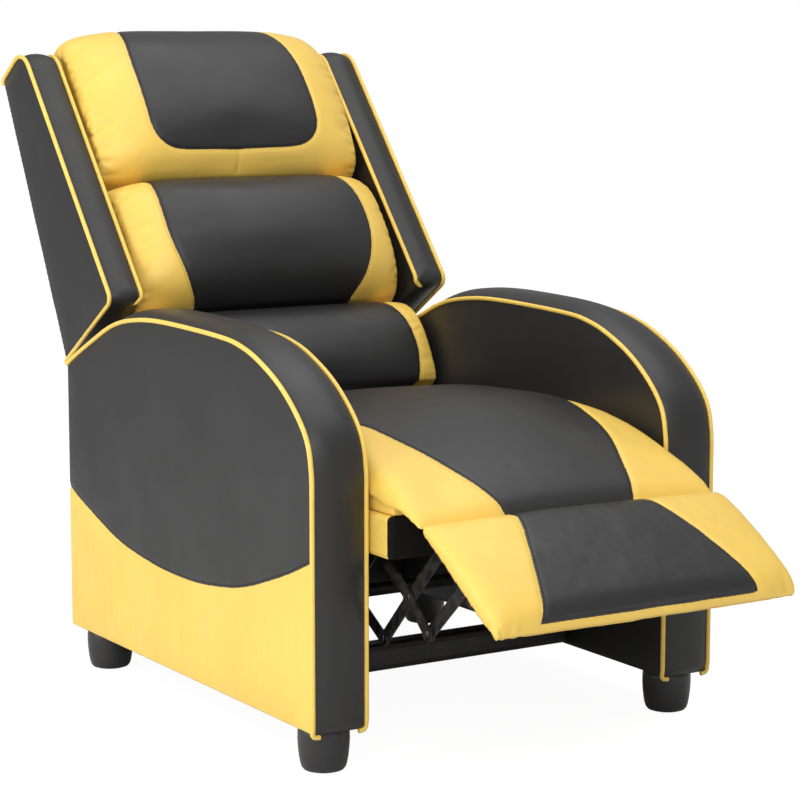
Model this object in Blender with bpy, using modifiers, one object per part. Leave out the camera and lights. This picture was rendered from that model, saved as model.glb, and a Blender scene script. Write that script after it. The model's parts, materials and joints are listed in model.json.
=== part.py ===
"""Push-back recliner armchair, footrest out and back part reclined.

Metres, +Z up, the front of the chair faces -Y, left is -X. All pieces are drawn in the chair's own
frame: X = 0 is the middle of the seat, Y = 0 the front face of the arms, Z = 0 the floor. The last
step sets the whole chair with the middle of its box over the origin.
"""

from math import atan2, cos, hypot, pi, radians, sin, tan

import bmesh
import bpy
from mathutils import Euler, Vector

MM = 0.001

# Driving dimensions

CHAIR_WIDTH = 660 * MM
ARM_DEPTH = 750 * MM
ARM_TOP = 563 * MM
ARM_BOTTOM = 59 * MM
ARM_THICKNESS = 80 * MM
BACK_TILT = radians(33)
BACK_PIVOT_INSET = 150 * MM
BACK_PIVOT_Y = ARM_DEPTH - BACK_PIVOT_INSET
BACK_PIVOT_Z = 330 * MM
BACK_PIVOT = (BACK_PIVOT_Y, BACK_PIVOT_Z)
SEAT_FRONT = -49 * MM
SEAT_INSET = 25 * MM
SEAT_REAR = BACK_PIVOT_Y - SEAT_INSET
SEAT_BOTTOM = 292 * MM
SEAT_BOX_TOP = 350 * MM
FOOTREST_LENGTH = 204 * MM
FOOTREST_SLOPE = radians(32.6)

# Clearances between touching pieces, round the pivots and beside the arms

GAP = 0.3 * MM
PIN_PLAY = 0.4 * MM
OPEN_PIN_PLAY = 0.9 * MM
SIDE_GAP = 1 * MM
OVERRUN = 5 * MM

# Arms

PIPING_RADIUS = 3.5 * MM
BEAD_OFFSET = (PIPING_RADIUS + GAP) * sin(radians(45))
ARM_OUTER_X = CHAIR_WIDTH / 2 - BEAD_OFFSET
ARM_INNER_X = ARM_OUTER_X - ARM_THICKNESS
ARM_CROWN = 9 * MM
PANEL_THICKNESS = 3 * MM
# Sections across the arm, as shares of half its thickness
SLAB_SHARES = (-1, -0.8, -0.4, 0, 0.4, 0.8, 1)
# Rear corner to front, as shares of the arm's depth and of its height above its bottom
ARM_TOP_SHARES = [
    (1.0, 0.81), (0.965, 0.838), (0.88, 0.897), (0.787, 0.956), (0.697, 0.986), (0.568, 1.0),
    (0.333, 0.994), (0.243, 0.978), (0.175, 0.946), (0.107, 0.897), (0.047, 0.829), (0.012, 0.762), (0.0, 0.68),
]
# Front to rear, as shares of the arm's depth and of its height above its bottom
PANEL_SEAM_SHARES = [
    (0.0, 0.46), (0.073, 0.413), (0.145, 0.375), (0.22, 0.339), (0.297, 0.313), (0.416, 0.292), (0.5, 0.288),
    (0.583, 0.292), (0.669, 0.304), (0.76, 0.325), (0.85, 0.363), (0.943, 0.409), (1.0, 0.436),
]

# Feet and cross rails

FOOT_TOP_RADIUS = 34 * MM
FOOT_BOTTOM_RADIUS = 28.5 * MM
FOOT_EDGE = 5 * MM
FOOT_FRONT_Y = 42 * MM
FOOT_REAR_INSET = 52 * MM
FOOT_REAR_Y = ARM_DEPTH - FOOT_REAR_INSET
FOOT_SIDES = 20
RAIL_HEIGHT = 40 * MM
RAIL_BOTTOM = 64 * MM
RAIL_ROUND = 9 * MM
FRONT_RAIL_Y = 246 * MM
REAR_RAIL_INSET = 41 * MM
REAR_RAIL_Y = ARM_DEPTH - REAR_RAIL_INSET
REAR_RAIL_THICKNESS = 18 * MM
REAR_RAIL_HEIGHT = 140 * MM
WOOD_ROUND = 3 * MM

# Steel parts of the mechanism: one sheet thickness, rivets and eyes of one size

SHEET = 3 * MM
LINK_SPACE = 1 * MM
HEAD_SPACE = 3 * MM
EYE_RADIUS = 11 * MM
BAR_HALF_WIDTH = 8.5 * MM
PIN_RADIUS = 4 * MM
HEAD_RADIUS = 7 * MM
HEAD_HEIGHT = 2 * MM
PIN_ROOT = SHEET / 6
PIN_SIDES = 12

# Sideways places of the sheets, from the seat box's side board inwards and outwards

BOARD = 18 * MM
SEAT_HALF_WIDTH = ARM_INNER_X - BEAD_OFFSET - PIPING_RADIUS - SIDE_GAP
SEAT_PLATE_X = SEAT_HALF_WIDTH - BOARD - GAP - SHEET / 2
FIRST_LINK_X = SEAT_PLATE_X - SHEET - HEAD_SPACE
SECOND_LINK_X = FIRST_LINK_X - SHEET - LINK_SPACE
BRACKET_X = SECOND_LINK_X - SHEET - LINK_SPACE
SWING_X = SEAT_PLATE_X + SHEET + LINK_SPACE
BASE_PLATE_X = SWING_X + SHEET + LINK_SPACE

# Footrest linkage, seen from the side: places from the photo, refined so that one fold closes it

FLAP_HINGE = (-50 * MM, 372 * MM)
SEAM = (-118 * MM, 343 * MM)
LOWER_FIXED = (92.8 * MM, 225.4 * MM)
UPPER_FIXED = (27.8 * MM, 295.4 * MM)
REAR_KNEE = (9.6 * MM, 176.0 * MM)
CROSSING = (-55.2 * MM, 243.6 * MM)
FRONT_KNEE = (-100.4 * MM, 203.7 * MM)
FRONT_EYE = (-177.2 * MM, 273.7 * MM)
REAR_EYE = (-129.9 * MM, 318.8 * MM)

# Swing links that carry the seat forward and back

SWING_LENGTH = 100 * MM
SWING_REACH = 40 * MM
SWING_LOW_Z = 165 * MM
SWING_RISE = (SWING_LENGTH ** 2 - SWING_REACH ** 2) ** 0.5
FRONT_SWING_Y = 310 * MM
REAR_SWING_INSET = 60 * MM
REAR_SWING_Y = BACK_PIVOT_Y - REAR_SWING_INSET
FRONT_SWING_LOW = (FRONT_SWING_Y, SWING_LOW_Z)
REAR_SWING_LOW = (REAR_SWING_Y, SWING_LOW_Z)
FRONT_SWING_TOP = (FRONT_SWING_Y - SWING_REACH, SWING_LOW_Z + SWING_RISE)
REAR_SWING_TOP = (REAR_SWING_Y - SWING_REACH, SWING_LOW_Z + SWING_RISE)
TORQUE_TUBE_RADIUS = 10 * MM
TORQUE_TUBE_SIDES = 16
SWING_EYE_WALL = 6 * MM
SWING_EYE_RADIUS = TORQUE_TUBE_RADIUS + SWING_EYE_WALL
PLATE_HALF_HEIGHT = 16 * MM
PLATE_ROUND = 6 * MM
PLATE_EAR = 15 * MM
PLATE_HOLE_RADIUS = 3 * MM
PLATE_HOLE_SHARES = (0.32, 0.5, 0.68)

# Sections across the cushions, as shares of half their width, and how sharply their ends draw in

STATION_SHARES = (-1, -0.97, -0.86, -0.6, -0.3, 0, 0.3, 0.6, 0.86, 0.97, 1)
END_POWER = 8

# Seat

CUSHION_INSET = 55 * MM
CUSHION_REAR = BACK_PIVOT_Y - CUSHION_INSET
SEAT_CROWN = 7 * MM
SEAT_EDGE_DRAW = 10 * MM
WEBBING_THICKNESS = 1.5 * MM
STRAP_WIDTH = 50 * MM
STRAP_COLUMNS = 4
STRAP_ROWS = 5
# Top of the seat from front to rear, as shares of its length and of CUSHION_HEIGHT
CUSHION_HEIGHT = 92 * MM
SEAT_TOP_SHARES = [
    (0.0, 0.41), (0.035, 0.5), (0.09, 0.66), (0.18, 0.87), (0.28, 0.98), (0.38, 1.0), (0.52, 0.955),
    (0.65, 0.91), (0.8, 0.83), (0.93, 0.73), (1.0, 0.58),
]
FLAP_REAR_HEIGHT = 15 * MM
FLAP_FRONT_HEIGHT = 9 * MM
FLAP_END_SHARE = 0.35
# Top of the flap, as shares of its length and of the fall from its rear height to its front height
FLAP_TOP_SHARES = [(0.35, 1.0), (0.7, 0.5), (1.0, 0.0)]

# Footrest

FOOTREST_BOARD = 10 * MM
FOOTREST_PAD = 24 * MM
FOOTREST_CROWN = 9 * MM
FOOTREST_LIP = 12 * MM
FOOTREST_END_SHARE = 0.3
# Top of the footrest pad, as shares of the footrest's length and of the pad's thickness
FOOTREST_TOP_SHARES = [
    (0.03, 0.5), (0.07, 0.85), (0.25, 1.0), (0.5, 1.0), (0.75, 0.94), (0.9, 0.75), (0.975, 0.4),
]
SEAM_GAP = 4 * MM
BRACKET_DROP = 38 * MM
BRACKET_START = 8 * MM
BRACKET_END = 150 * MM
FLANGE_WIDTH = 20 * MM
# Lower corners of the bracket, as shares of its length and of BRACKET_DROP
BRACKET_SHARES = [(0.0, 0.66), (0.48, 1.0), (0.7, 1.0), (1.0, 0.42)]

# Back part, in its own frame: along it from the pivot, and square to it towards the rear

WING_INNER_X = ARM_INNER_X - SIDE_GAP
WING_THICKNESS = 51 * MM
WING_OUTER_X = WING_INNER_X + WING_THICKNESS
WING_BOTTOM = 232 * MM
WING_TOP = 713 * MM
WING_LOW_FRONT = -88 * MM
WING_HIGH_FRONT = -30 * MM
WING_LOW_REAR = 112 * MM
WING_HIGH_REAR = 65 * MM
WING_LOW_ROUND = 12 * MM
WING_HIGH_ROUND = 40 * MM
WING_REAR_ROUND = 8 * MM
WING_CROWN = 6 * MM
BACK_HALF_WIDTH = WING_INNER_X - BEAD_OFFSET - PIPING_RADIUS - GAP
BACK_BOTTOM = 40 * MM
BACK_TOP = 716 * MM
FRAME_FRONT = 8 * MM
FRAME_BOARD = 22 * MM
COVER_THICKNESS = 5 * MM
BACK_BRACKET_TOP = 210 * MM
BRACKET_DEPTH = 40 * MM
BACK_BRACKET_X = BACK_HALF_WIDTH - FRAME_BOARD - GAP - SHEET / 2
CUSHION_SEAT = FRAME_FRONT - 2 * GAP - WEBBING_THICKNESS

# Back cushions: from and to along the back, thickness at the sides, and more in the middle

HEAD_FROM = 460 * MM
HEAD_TO = 746 * MM
HEAD_THICKNESS = 112 * MM
HEAD_CROWN = 8 * MM
HEAD_TOP_REAR = 52 * MM
HEAD_TOP_HEIGHT = 20 * MM
LUMBAR_FROM = 229 * MM
LUMBAR_TO = 458 * MM
LUMBAR_THICKNESS = 98 * MM
LUMBAR_CROWN = 22 * MM
LOWER_FROM = 66 * MM
LOWER_TO = 227 * MM
LOWER_THICKNESS = 86 * MM
LOWER_CROWN = 14 * MM
ROLL_SIDE_GAP = 3.8 * MM
ROLL_HALF_WIDTH = BACK_HALF_WIDTH - ROLL_SIDE_GAP
ROLL_STEPS = 12
# How square the rolls' sections are, and how much thinner and shorter they get at their ends
ROLL_POWER = 0.62
ROLL_END_SHARE = 0.34
ROLL_SHORT_SHARE = 0.04

# Points on each span of a smooth curve and on each rounded corner

ARM_STEPS = 2
SEAT_STEPS = 2
CORNER_STEPS = 5
EYE_STEPS = 9


def smooth(points, steps):
    """Points on a smooth curve through an open list of points."""
    ends = [points[0], *points, points[-1]]
    result = []
    for a, b, c, d in zip(ends, ends[1:], ends[2:], ends[3:]):
        for i in range(steps):
            t = i / steps
            result.append(tuple(
                b[k] + t * (c[k] - a[k]) / 2 + t * t * (a[k] - 5 * b[k] / 2 + 2 * c[k] - d[k] / 2)
                + t ** 3 * (3 * (b[k] - c[k]) + d[k] - a[k]) / 2 for k in (0, 1)))
    return result + [tuple(points[-1])]


def rounded(corners, steps=CORNER_STEPS):
    """An outline from corners (y, z, radius), each turned into an arc; radius 0 stays sharp."""
    result = []
    for i, (y, z, radius) in enumerate(corners):
        here = Vector((y, z))
        if radius == 0:
            result.append((y, z))
            continue
        back = (Vector(corners[i - 1][:2]) - here).normalized()
        ahead = (Vector(corners[(i + 1) % len(corners)][:2]) - here).normalized()
        half = back.angle(ahead) / 2
        middle = here + (back + ahead).normalized() * radius / sin(half)
        first = here + back * radius / tan(half) - middle
        last = here + ahead * radius / tan(half) - middle
        turn = first.angle_signed(last)
        for k in range(steps + 1):
            angle = -turn * k / steps
            result.append((middle.x + first.x * cos(angle) - first.y * sin(angle),
                           middle.y + first.x * sin(angle) + first.y * cos(angle)))
    return result


def hole(centre, radius, sides=PIN_SIDES):
    """A round hole's loop, whose flats stay outside its radius."""
    reach = radius / cos(pi / sides)
    return [(centre[0] + reach * cos(2 * pi * k / sides), centre[1] + reach * sin(2 * pi * k / sides))
            for k in range(sides)]


def offset(points, distance):
    """An open path moved to its left by a distance."""
    result = []
    for i, (y, z) in enumerate(points):
        before = points[max(i - 1, 0)]
        after = points[min(i + 1, len(points) - 1)]
        dy, dz = after[0] - before[0], after[1] - before[1]
        size = hypot(dy, dz)
        result.append((y - dz / size * distance, z + dy / size * distance))
    return result


def bar(points, eye=EYE_RADIUS, half_width=BAR_HALF_WIDTH):
    """The outline of a flat link through its pivots, with round eyes at both ends."""
    result = []
    for end, rest in ((points, offset(points, half_width)), (points[::-1], offset(points[::-1], half_width))):
        tip, inner = end[0], end[1]
        heading = atan2(inner[1] - tip[1], inner[0] - tip[0])
        opening = atan2(half_width, (eye ** 2 - half_width ** 2) ** 0.5)
        for k in range(EYE_STEPS + 1):
            angle = heading - opening - k / EYE_STEPS * (2 * pi - 2 * opening)
            result.append((tip[0] + eye * cos(angle), tip[1] + eye * sin(angle)))
        result.extend(rest[1:-1])
    return result


def on_back(along, across):
    """A place of the back part in the chair's side view."""
    return (BACK_PIVOT_Y + along * sin(BACK_TILT) + across * cos(BACK_TILT),
            BACK_PIVOT_Z + along * cos(BACK_TILT) - across * sin(BACK_TILT))


def on_footrest(along, below):
    """A place of the footrest in the chair's side view."""
    return (SEAM[0] - along * cos(FOOTREST_SLOPE) + below * sin(FOOTREST_SLOPE),
            SEAM[1] - along * sin(FOOTREST_SLOPE) - below * cos(FOOTREST_SLOPE))


def collection(name):
    """A new collection in the scene."""
    made = bpy.data.collections.new(name)
    bpy.context.scene.collection.children.link(made)
    return made


def material(name, colour, roughness, metallic=0.0):
    """A Principled material of one finish."""
    made = bpy.data.materials.new(name)
    made.use_nodes = True
    shader = made.node_tree.nodes["Principled BSDF"]
    shader.inputs["Base Color"].default_value = (*colour, 1.0)
    shader.inputs["Roughness"].default_value = roughness
    shader.inputs["Metallic"].default_value = metallic
    return made


def clean(bm):
    """Joined points and outward faces."""
    bmesh.ops.remove_doubles(bm, verts=bm.verts, dist=0.01 * MM)
    bmesh.ops.recalc_face_normals(bm, faces=bm.faces)


def from_bmesh(name, bm):
    """A linked mesh object from a bmesh."""
    clean(bm)
    mesh = bpy.data.meshes.new(name)
    bm.to_mesh(mesh)
    bm.free()
    made = bpy.data.objects.new(name, mesh)
    PARTS.objects.link(made)
    return made


def as_mesh(source):
    """Replaces a curve, or an object with modifiers, by its plain mesh in the chair's frame."""
    bpy.context.view_layer.update()
    evaluated = source.evaluated_get(bpy.context.evaluated_depsgraph_get())
    mesh = bpy.data.meshes.new_from_object(evaluated)
    mesh.transform(source.matrix_world)
    bm = bmesh.new()
    bm.from_mesh(mesh)
    name = source.name
    bpy.data.objects.remove(source)
    bpy.data.meshes.remove(mesh)
    return from_bmesh(name, bm)


def flat(name, loops, thickness, centre, turn):
    """A flat piece: an outline and its holes in its own plane, placed and turned."""
    curve = bpy.data.curves.new(name, "CURVE")
    curve.dimensions = "2D"
    curve.fill_mode = "BOTH"
    curve.extrude = thickness / 2
    for loop in loops:
        spline = curve.splines.new("POLY")
        spline.points.add(len(loop) - 1)
        for point, place in zip(spline.points, loop):
            point.co = (*place, 0, 1)
        spline.use_cyclic_u = True
    made = bpy.data.objects.new(name, curve)
    made.location = centre
    made.rotation_euler = Euler(turn)
    PARTS.objects.link(made)
    return as_mesh(made)


def plate(name, outline, x, thickness=SHEET, holes=()):
    """A flat piece square to X, cut to an outline in the side view, with holes."""
    return flat(name, [outline, *holes], thickness, (x, 0, 0), (radians(90), 0, radians(90)))


def back_plate(name, loops, across, thickness):
    """A flat piece of the back part, drawn in X and along the back."""
    return flat(name, loops, thickness, (0, *on_back(0, across)), (radians(90) - BACK_TILT, 0, 0))


def rectangle(low, high):
    """The corners of an upright rectangle."""
    return [low, (high[0], low[1]), high, (low[0], high[1])]


def cord(name, points, radius, resolution=2):
    """A round bead along an open path of points."""
    curve = bpy.data.curves.new(name, "CURVE")
    curve.dimensions = "3D"
    curve.bevel_depth = radius
    curve.bevel_resolution = resolution
    curve.use_fill_caps = True
    spline = curve.splines.new("POLY")
    spline.points.add(len(points) - 1)
    for point, place in zip(spline.points, points):
        point.co = (*place, 1)
    made = bpy.data.objects.new(name, curve)
    PARTS.objects.link(made)
    return as_mesh(made)


def turned(name, profile, sides=PIN_SIDES, centre=(0, 0, 0), turn=(0, 0, 0)):
    """A turned piece about its own Z from a profile (radius, height) that runs from top to bottom."""
    mesh = bpy.data.meshes.new(name)
    mesh.from_pydata([(radius, 0, height) for radius, height in profile],
                     [(i, i + 1) for i in range(len(profile) - 1)], [])
    made = bpy.data.objects.new(name, mesh)
    made.location = centre
    made.rotation_euler = turn
    PARTS.objects.link(made)
    screw = made.modifiers.new("turn", "SCREW")
    screw.steps = sides
    screw.render_steps = sides
    screw.use_merge_vertices = True
    screw.merge_threshold = 0.01 * MM
    return as_mesh(made)


def rivet(pivot, x_from, x_to, head=True):
    """A pin along X through a pivot, rooted in the sheet at its start, with a domed head at its far end."""
    radius = PIN_RADIUS
    length = abs(x_to - x_from)
    profile = [(0, -PIN_ROOT), (radius, -PIN_ROOT), (radius, length)]
    if head:
        profile += [(HEAD_RADIUS, length), (HEAD_RADIUS, length + HEAD_HEIGHT / 2),
                    (HEAD_RADIUS - HEAD_HEIGHT, length + HEAD_HEIGHT)]
    top = profile[-1][1]
    profile += [(0, top)]
    lean = radians(90) if x_to > x_from else radians(-90)
    return turned("rivet", profile[::-1], centre=(x_from, pivot[0], pivot[1]), turn=(0, lean, 0))


def box(name, low, high, bevel=0.0):
    """A rounded box between two corners."""
    bm = bmesh.new()
    bmesh.ops.create_cube(bm, size=1)
    for vert in bm.verts:
        for k in range(3):
            vert.co[k] = low[k] + (vert.co[k] + 0.5) * (high[k] - low[k])
    made = from_bmesh(name, bm)
    if bevel:
        modifier = made.modifiers.new("edges", "BEVEL")
        modifier.width = bevel
        modifier.segments = 2
        return as_mesh(made)
    return made


def loft(name, rings):
    """A closed solid through rings of as many points each, with flat ends."""
    bm = bmesh.new()
    rows = [[bm.verts.new(point) for point in ring] for ring in rings]
    for lower, upper in zip(rows, rows[1:]):
        for i in range(len(lower)):
            j = (i + 1) % len(lower)
            bm.faces.new((lower[i], lower[j], upper[j], upper[i]))
    bm.faces.new(rows[0])
    bm.faces.new(rows[-1])
    return from_bmesh(name, bm)


def fuse(target, *tools, operation="UNION"):
    """Joins tools to a piece, or cuts them from it, and removes them."""
    name = target.name
    for tool in tools:
        CUTTERS.objects.link(tool)
        PARTS.objects.unlink(tool)
        modifier = target.modifiers.new("join", "BOOLEAN")
        modifier.operation = operation
        modifier.object = tool
        modifier.solver = "EXACT"
    made = as_mesh(target)
    made.name = name
    for tool in tools:
        bpy.data.objects.remove(tool)
    return made


def finish(made, finish_material, pivot):
    """Gives a piece its material and hangs it on the empty on its joint's axis."""
    made.data.materials.clear()
    made.data.materials.append(finish_material)
    made.data.shade_smooth()
    made.data.set_sharp_from_angle(angle=radians(35))
    made.parent = pivot
    made.location = -PIVOT_PLACES[pivot.name]
    return made


def axis(name, place, parent=None):
    """An empty on a joint's axis, carried by the empty of the body before it."""
    empty = bpy.data.objects.new(name, None)
    empty.empty_display_size = EYE_RADIUS
    PARTS.objects.link(empty)
    here = Vector((0, *place))
    PIVOT_PLACES[name] = here
    if parent:
        empty.parent = parent
        empty.location = here - PIVOT_PLACES[parent.name]
    else:
        empty.location = here
    return empty


def sides():
    """The name and direction of each side."""
    return (("left", -1), ("right", 1))


def crowned_slab(name, edge, x_from, x_to, crown, rear=()):
    """An upholstered slab: its edge path bulges by the crown between the two side faces."""
    rings = []
    for share in SLAB_SHARES:
        x = (x_from + x_to) / 2 + share * (x_to - x_from) / 2
        path = offset(edge, -crown * (1 - share ** 2))
        rings.append([(x, y, z) for y, z in [*path[:-1], edge[-1], *rear]])
    return loft(name, rings)


def arm_curve(shares):
    """A smooth line on the arm's side from shares of its depth and height."""
    return smooth([(y * ARM_DEPTH, ARM_BOTTOM + z * (ARM_TOP - ARM_BOTTOM)) for y, z in shares], ARM_STEPS)


def piping(name, path, x, side):
    """A bead of piping on a slab's edge, clear of it by the gap."""
    places = [(x + side * BEAD_OFFSET, y, z) for y, z in offset(path, -BEAD_OFFSET)]
    return cord(name, places, PIPING_RADIUS, 1)


def arm_edge():
    """The arm's edge in the side view, from the rear top corner over the top and down the front."""
    return [*arm_curve(ARM_TOP_SHARES), (0, ARM_BOTTOM)]


def make_arms(root):
    """Arms with their lower panels, piping and feet."""
    seam = arm_curve(PANEL_SEAM_SHARES)
    for side_name, side in sides():
        inner = side * ARM_INNER_X
        outer = side * ARM_OUTER_X
        arm = crowned_slab(f"{side_name}_arm", arm_edge(), inner, outer, ARM_CROWN, [(ARM_DEPTH, ARM_BOTTOM)])
        low = [(ARM_DEPTH + OVERRUN, ARM_BOTTOM - OVERRUN), (-OVERRUN - ARM_CROWN, ARM_BOTTOM - OVERRUN)]
        start = (-OVERRUN - ARM_CROWN, seam[0][1])
        end = (ARM_DEPTH + OVERRUN, seam[-1][1])
        recess = plate("recess", [start, *seam, end, *low], outer, 2 * PANEL_THICKNESS)
        arm = fuse(arm, recess, operation="DIFFERENCE")
        finish(arm, BLACK_CLOTH, root)
        inset = [(y, z - GAP) for y, z in seam]
        outline = [(GAP, inset[0][1]), *inset[1:-1], (ARM_DEPTH - GAP, inset[-1][1]),
                   (ARM_DEPTH - GAP, ARM_BOTTOM + GAP), (GAP, ARM_BOTTOM + GAP)]
        panel = plate(f"{side_name}_arm_panel", outline, side * (ARM_OUTER_X - PANEL_THICKNESS / 2 + GAP / 2),
                      PANEL_THICKNESS - GAP)
        finish(panel, YELLOW_CLOTH, root)
        path = [*arm_edge()[1:-1], (0, ARM_BOTTOM + PIPING_RADIUS)]
        finish(piping(f"{side_name}_arm_outer_piping", path, outer, side), YELLOW_CLOTH, root)
        finish(piping(f"{side_name}_arm_inner_piping", path, inner, -side), YELLOW_CLOTH, root)
        for end_name, y in (("front", FOOT_FRONT_Y), ("rear", FOOT_REAR_Y)):
            top = ARM_BOTTOM - GAP
            profile = [(0, top), (FOOT_TOP_RADIUS, top), (FOOT_BOTTOM_RADIUS, FOOT_EDGE),
                       (FOOT_BOTTOM_RADIUS - FOOT_EDGE, 0), (0, 0)]
            foot = turned(f"{side_name}_{end_name}_foot", profile, FOOT_SIDES,
                          (side * (ARM_OUTER_X + ARM_INNER_X) / 2, y, 0))
            finish(foot, BLACK_PLASTIC, root)


def make_base(root):
    """Cross rails, wood cleats and the base plates that carry the swing links."""
    reach = ARM_INNER_X - GAP
    front = box("front_rail", (-reach, FRONT_RAIL_Y - RAIL_HEIGHT / 2, RAIL_BOTTOM),
                (reach, FRONT_RAIL_Y + RAIL_HEIGHT / 2, RAIL_BOTTOM + RAIL_HEIGHT), RAIL_ROUND)
    finish(front, BLACK_CLOTH, root)
    rear = box("rear_rail", (-reach, REAR_RAIL_Y - REAR_RAIL_THICKNESS / 2, RAIL_BOTTOM),
               (reach, REAR_RAIL_Y + REAR_RAIL_THICKNESS / 2, RAIL_BOTTOM + REAR_RAIL_HEIGHT), WOOD_ROUND)
    finish(rear, BLACK_CLOTH, root)
    front_end = FRONT_SWING_LOW[0] - 2 * PLATE_HALF_HEIGHT
    rear_end = REAR_SWING_LOW[0] + 2 * PLATE_HALF_HEIGHT
    for side_name, side in sides():
        cleat_inner = side * (BASE_PLATE_X + SHEET / 2 + GAP)
        low, high = sorted((cleat_inner, side * reach))
        cleat = box(f"{side_name}_cleat", (low, front_end, SWING_LOW_Z - 2 * PLATE_HALF_HEIGHT),
                    (high, rear_end, SWING_LOW_Z + 2 * PLATE_HALF_HEIGHT), WOOD_ROUND)
        finish(cleat, WOOD, root)
        corners = rectangle((front_end, SWING_LOW_Z - PLATE_HALF_HEIGHT),
                            (rear_end, SWING_LOW_Z + PLATE_HALF_HEIGHT))
        outline = rounded([(*corner, PLATE_ROUND) for corner in corners])
        base = plate(f"{side_name}_base_plate", outline, side * BASE_PLATE_X,
                     holes=[hole(FRONT_SWING_LOW, TORQUE_TUBE_RADIUS + PIN_PLAY)])
        inside = side * (BASE_PLATE_X - SHEET / 2)
        tip = side * (SWING_X - SHEET / 2 - GAP)
        finish(fuse(base, rivet(REAR_SWING_LOW, inside, tip)), STEEL, root)


def make_swings(front_pivot, rear_pivot):
    """Two pairs of swing links; the front pair is joined by a torque tube."""
    for side_name, side in sides():
        for end_name, low, high, pivot in (("front", FRONT_SWING_LOW, FRONT_SWING_TOP, front_pivot),
                                           ("rear", REAR_SWING_LOW, REAR_SWING_TOP, rear_pivot)):
            low_hole = TORQUE_TUBE_RADIUS + GAP if end_name == "front" else PIN_RADIUS + PIN_PLAY
            outline = bar([low, high], SWING_EYE_RADIUS, EYE_RADIUS)
            link = plate(f"{side_name}_{end_name}_swing", outline, side * SWING_X,
                         holes=[hole(low, low_hole), hole(high, PIN_RADIUS + PIN_PLAY)])
            finish(link, STEEL, pivot)
    reach = BASE_PLATE_X + SHEET / 2
    profile = [(0, reach), (TORQUE_TUBE_RADIUS, reach), (TORQUE_TUBE_RADIUS, -reach), (0, -reach)]
    tube = turned("torque_tube", profile, TORQUE_TUBE_SIDES, (0, *FRONT_SWING_LOW), (0, radians(90), 0))
    finish(tube, STEEL, front_pivot)


def seat_plate_outline():
    """The seat side plate: under the box, up inside it at the front, and up behind it to the back pivot."""
    top = SEAT_BOX_TOP - EYE_RADIUS
    low = FRONT_SWING_TOP[1] - PLATE_HALF_HEIGHT
    under = SEAT_BOTTOM - PLATE_HALF_HEIGHT
    front = UPPER_FIXED[0] - EYE_RADIUS
    foot = LOWER_FIXED[1] - EYE_RADIUS
    heel = SEAT_REAR + EYE_RADIUS
    ear_rear, ear_top = BACK_PIVOT_Y + PLATE_EAR, BACK_PIVOT_Z + PLATE_EAR
    return rounded([
        (front, top, EYE_RADIUS), (front, UPPER_FIXED[1] - EYE_RADIUS, EYE_RADIUS),
        (LOWER_FIXED[0] - EYE_RADIUS, foot, PLATE_ROUND), (LOWER_FIXED[0] + EYE_RADIUS, foot, PLATE_ROUND),
        (FRONT_SWING_TOP[0] - PLATE_HALF_HEIGHT, low, EYE_RADIUS), (SEAT_REAR, low, EYE_RADIUS),
        (ear_rear, under, EYE_RADIUS), (ear_rear, ear_top, EYE_RADIUS),
        (heel, ear_top, PLATE_ROUND), (heel - WOOD_ROUND, under, PLATE_ROUND),
        (REAR_SWING_TOP[0], under, EYE_RADIUS), (REAR_SWING_TOP[0] - 2 * PLATE_HALF_HEIGHT, top, EYE_RADIUS)])


def make_seat(seat):
    """Seat box, webbing, side plates and cushion."""
    outer = box("seat_box", (-SEAT_HALF_WIDTH, SEAT_FRONT, SEAT_BOTTOM),
                (SEAT_HALF_WIDTH, SEAT_REAR, SEAT_BOX_TOP), 2 * WOOD_ROUND)
    inside = SEAT_HALF_WIDTH - BOARD
    hollow = box("hollow", (-inside, SEAT_FRONT + BOARD, SEAT_BOTTOM - OVERRUN),
                 (inside, SEAT_REAR - BOARD, SEAT_BOX_TOP + OVERRUN))
    finish(fuse(outer, hollow, operation="DIFFERENCE"), YELLOW_CLOTH, seat)
    loops = straps((GAP - inside, SEAT_FRONT + BOARD + GAP), (inside - GAP, SEAT_REAR - BOARD - GAP))
    centre = (0, 0, SEAT_BOX_TOP - WEBBING_THICKNESS / 2)
    webbing = flat("seat_webbing", loops, WEBBING_THICKNESS, centre, (0, 0, 0))
    finish(webbing, WEBBING, seat)
    first_face = SEAT_PLATE_X - SHEET / 2
    for side_name, side in sides():
        holes = [hole([a + share * (b - a) for a, b in zip(UPPER_FIXED, LOWER_FIXED)], PLATE_HOLE_RADIUS, 8)
                 for share in PLATE_HOLE_SHARES]
        side_plate = plate(f"{side_name}_seat_plate", seat_plate_outline(), side * SEAT_PLATE_X, holes=holes)
        tip = side * (FIRST_LINK_X - SHEET / 2 - GAP)
        pins = [rivet(pivot, side * first_face, tip) for pivot in (LOWER_FIXED, UPPER_FIXED, BACK_PIVOT)]
        outward = side * (SWING_X + SHEET / 2 + GAP)
        pins += [rivet(pivot, side * (SEAT_PLATE_X + SHEET / 2), outward, head=False)
                 for pivot in (FRONT_SWING_TOP, REAR_SWING_TOP)]
        finish(fuse(side_plate, *pins), STEEL, seat)
    finish(seat_cushion(), BLACK_CLOTH, seat)


def straps(low, high):
    """Loops of flat straps crossing at right angles, sewn where they cross, between two corners."""
    step_x = (high[0] - low[0] - STRAP_WIDTH) / STRAP_COLUMNS
    step_y = (high[1] - low[1] - STRAP_WIDTH) / STRAP_ROWS
    loops = [rectangle(low, high)]
    for i in range(STRAP_COLUMNS):
        for j in range(STRAP_ROWS):
            x = low[0] + STRAP_WIDTH + i * step_x
            y = low[1] + STRAP_WIDTH + j * step_y
            loops.append(rectangle((x, y), (x + step_x - STRAP_WIDTH, y + step_y - STRAP_WIDTH)))
    return loops


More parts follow.
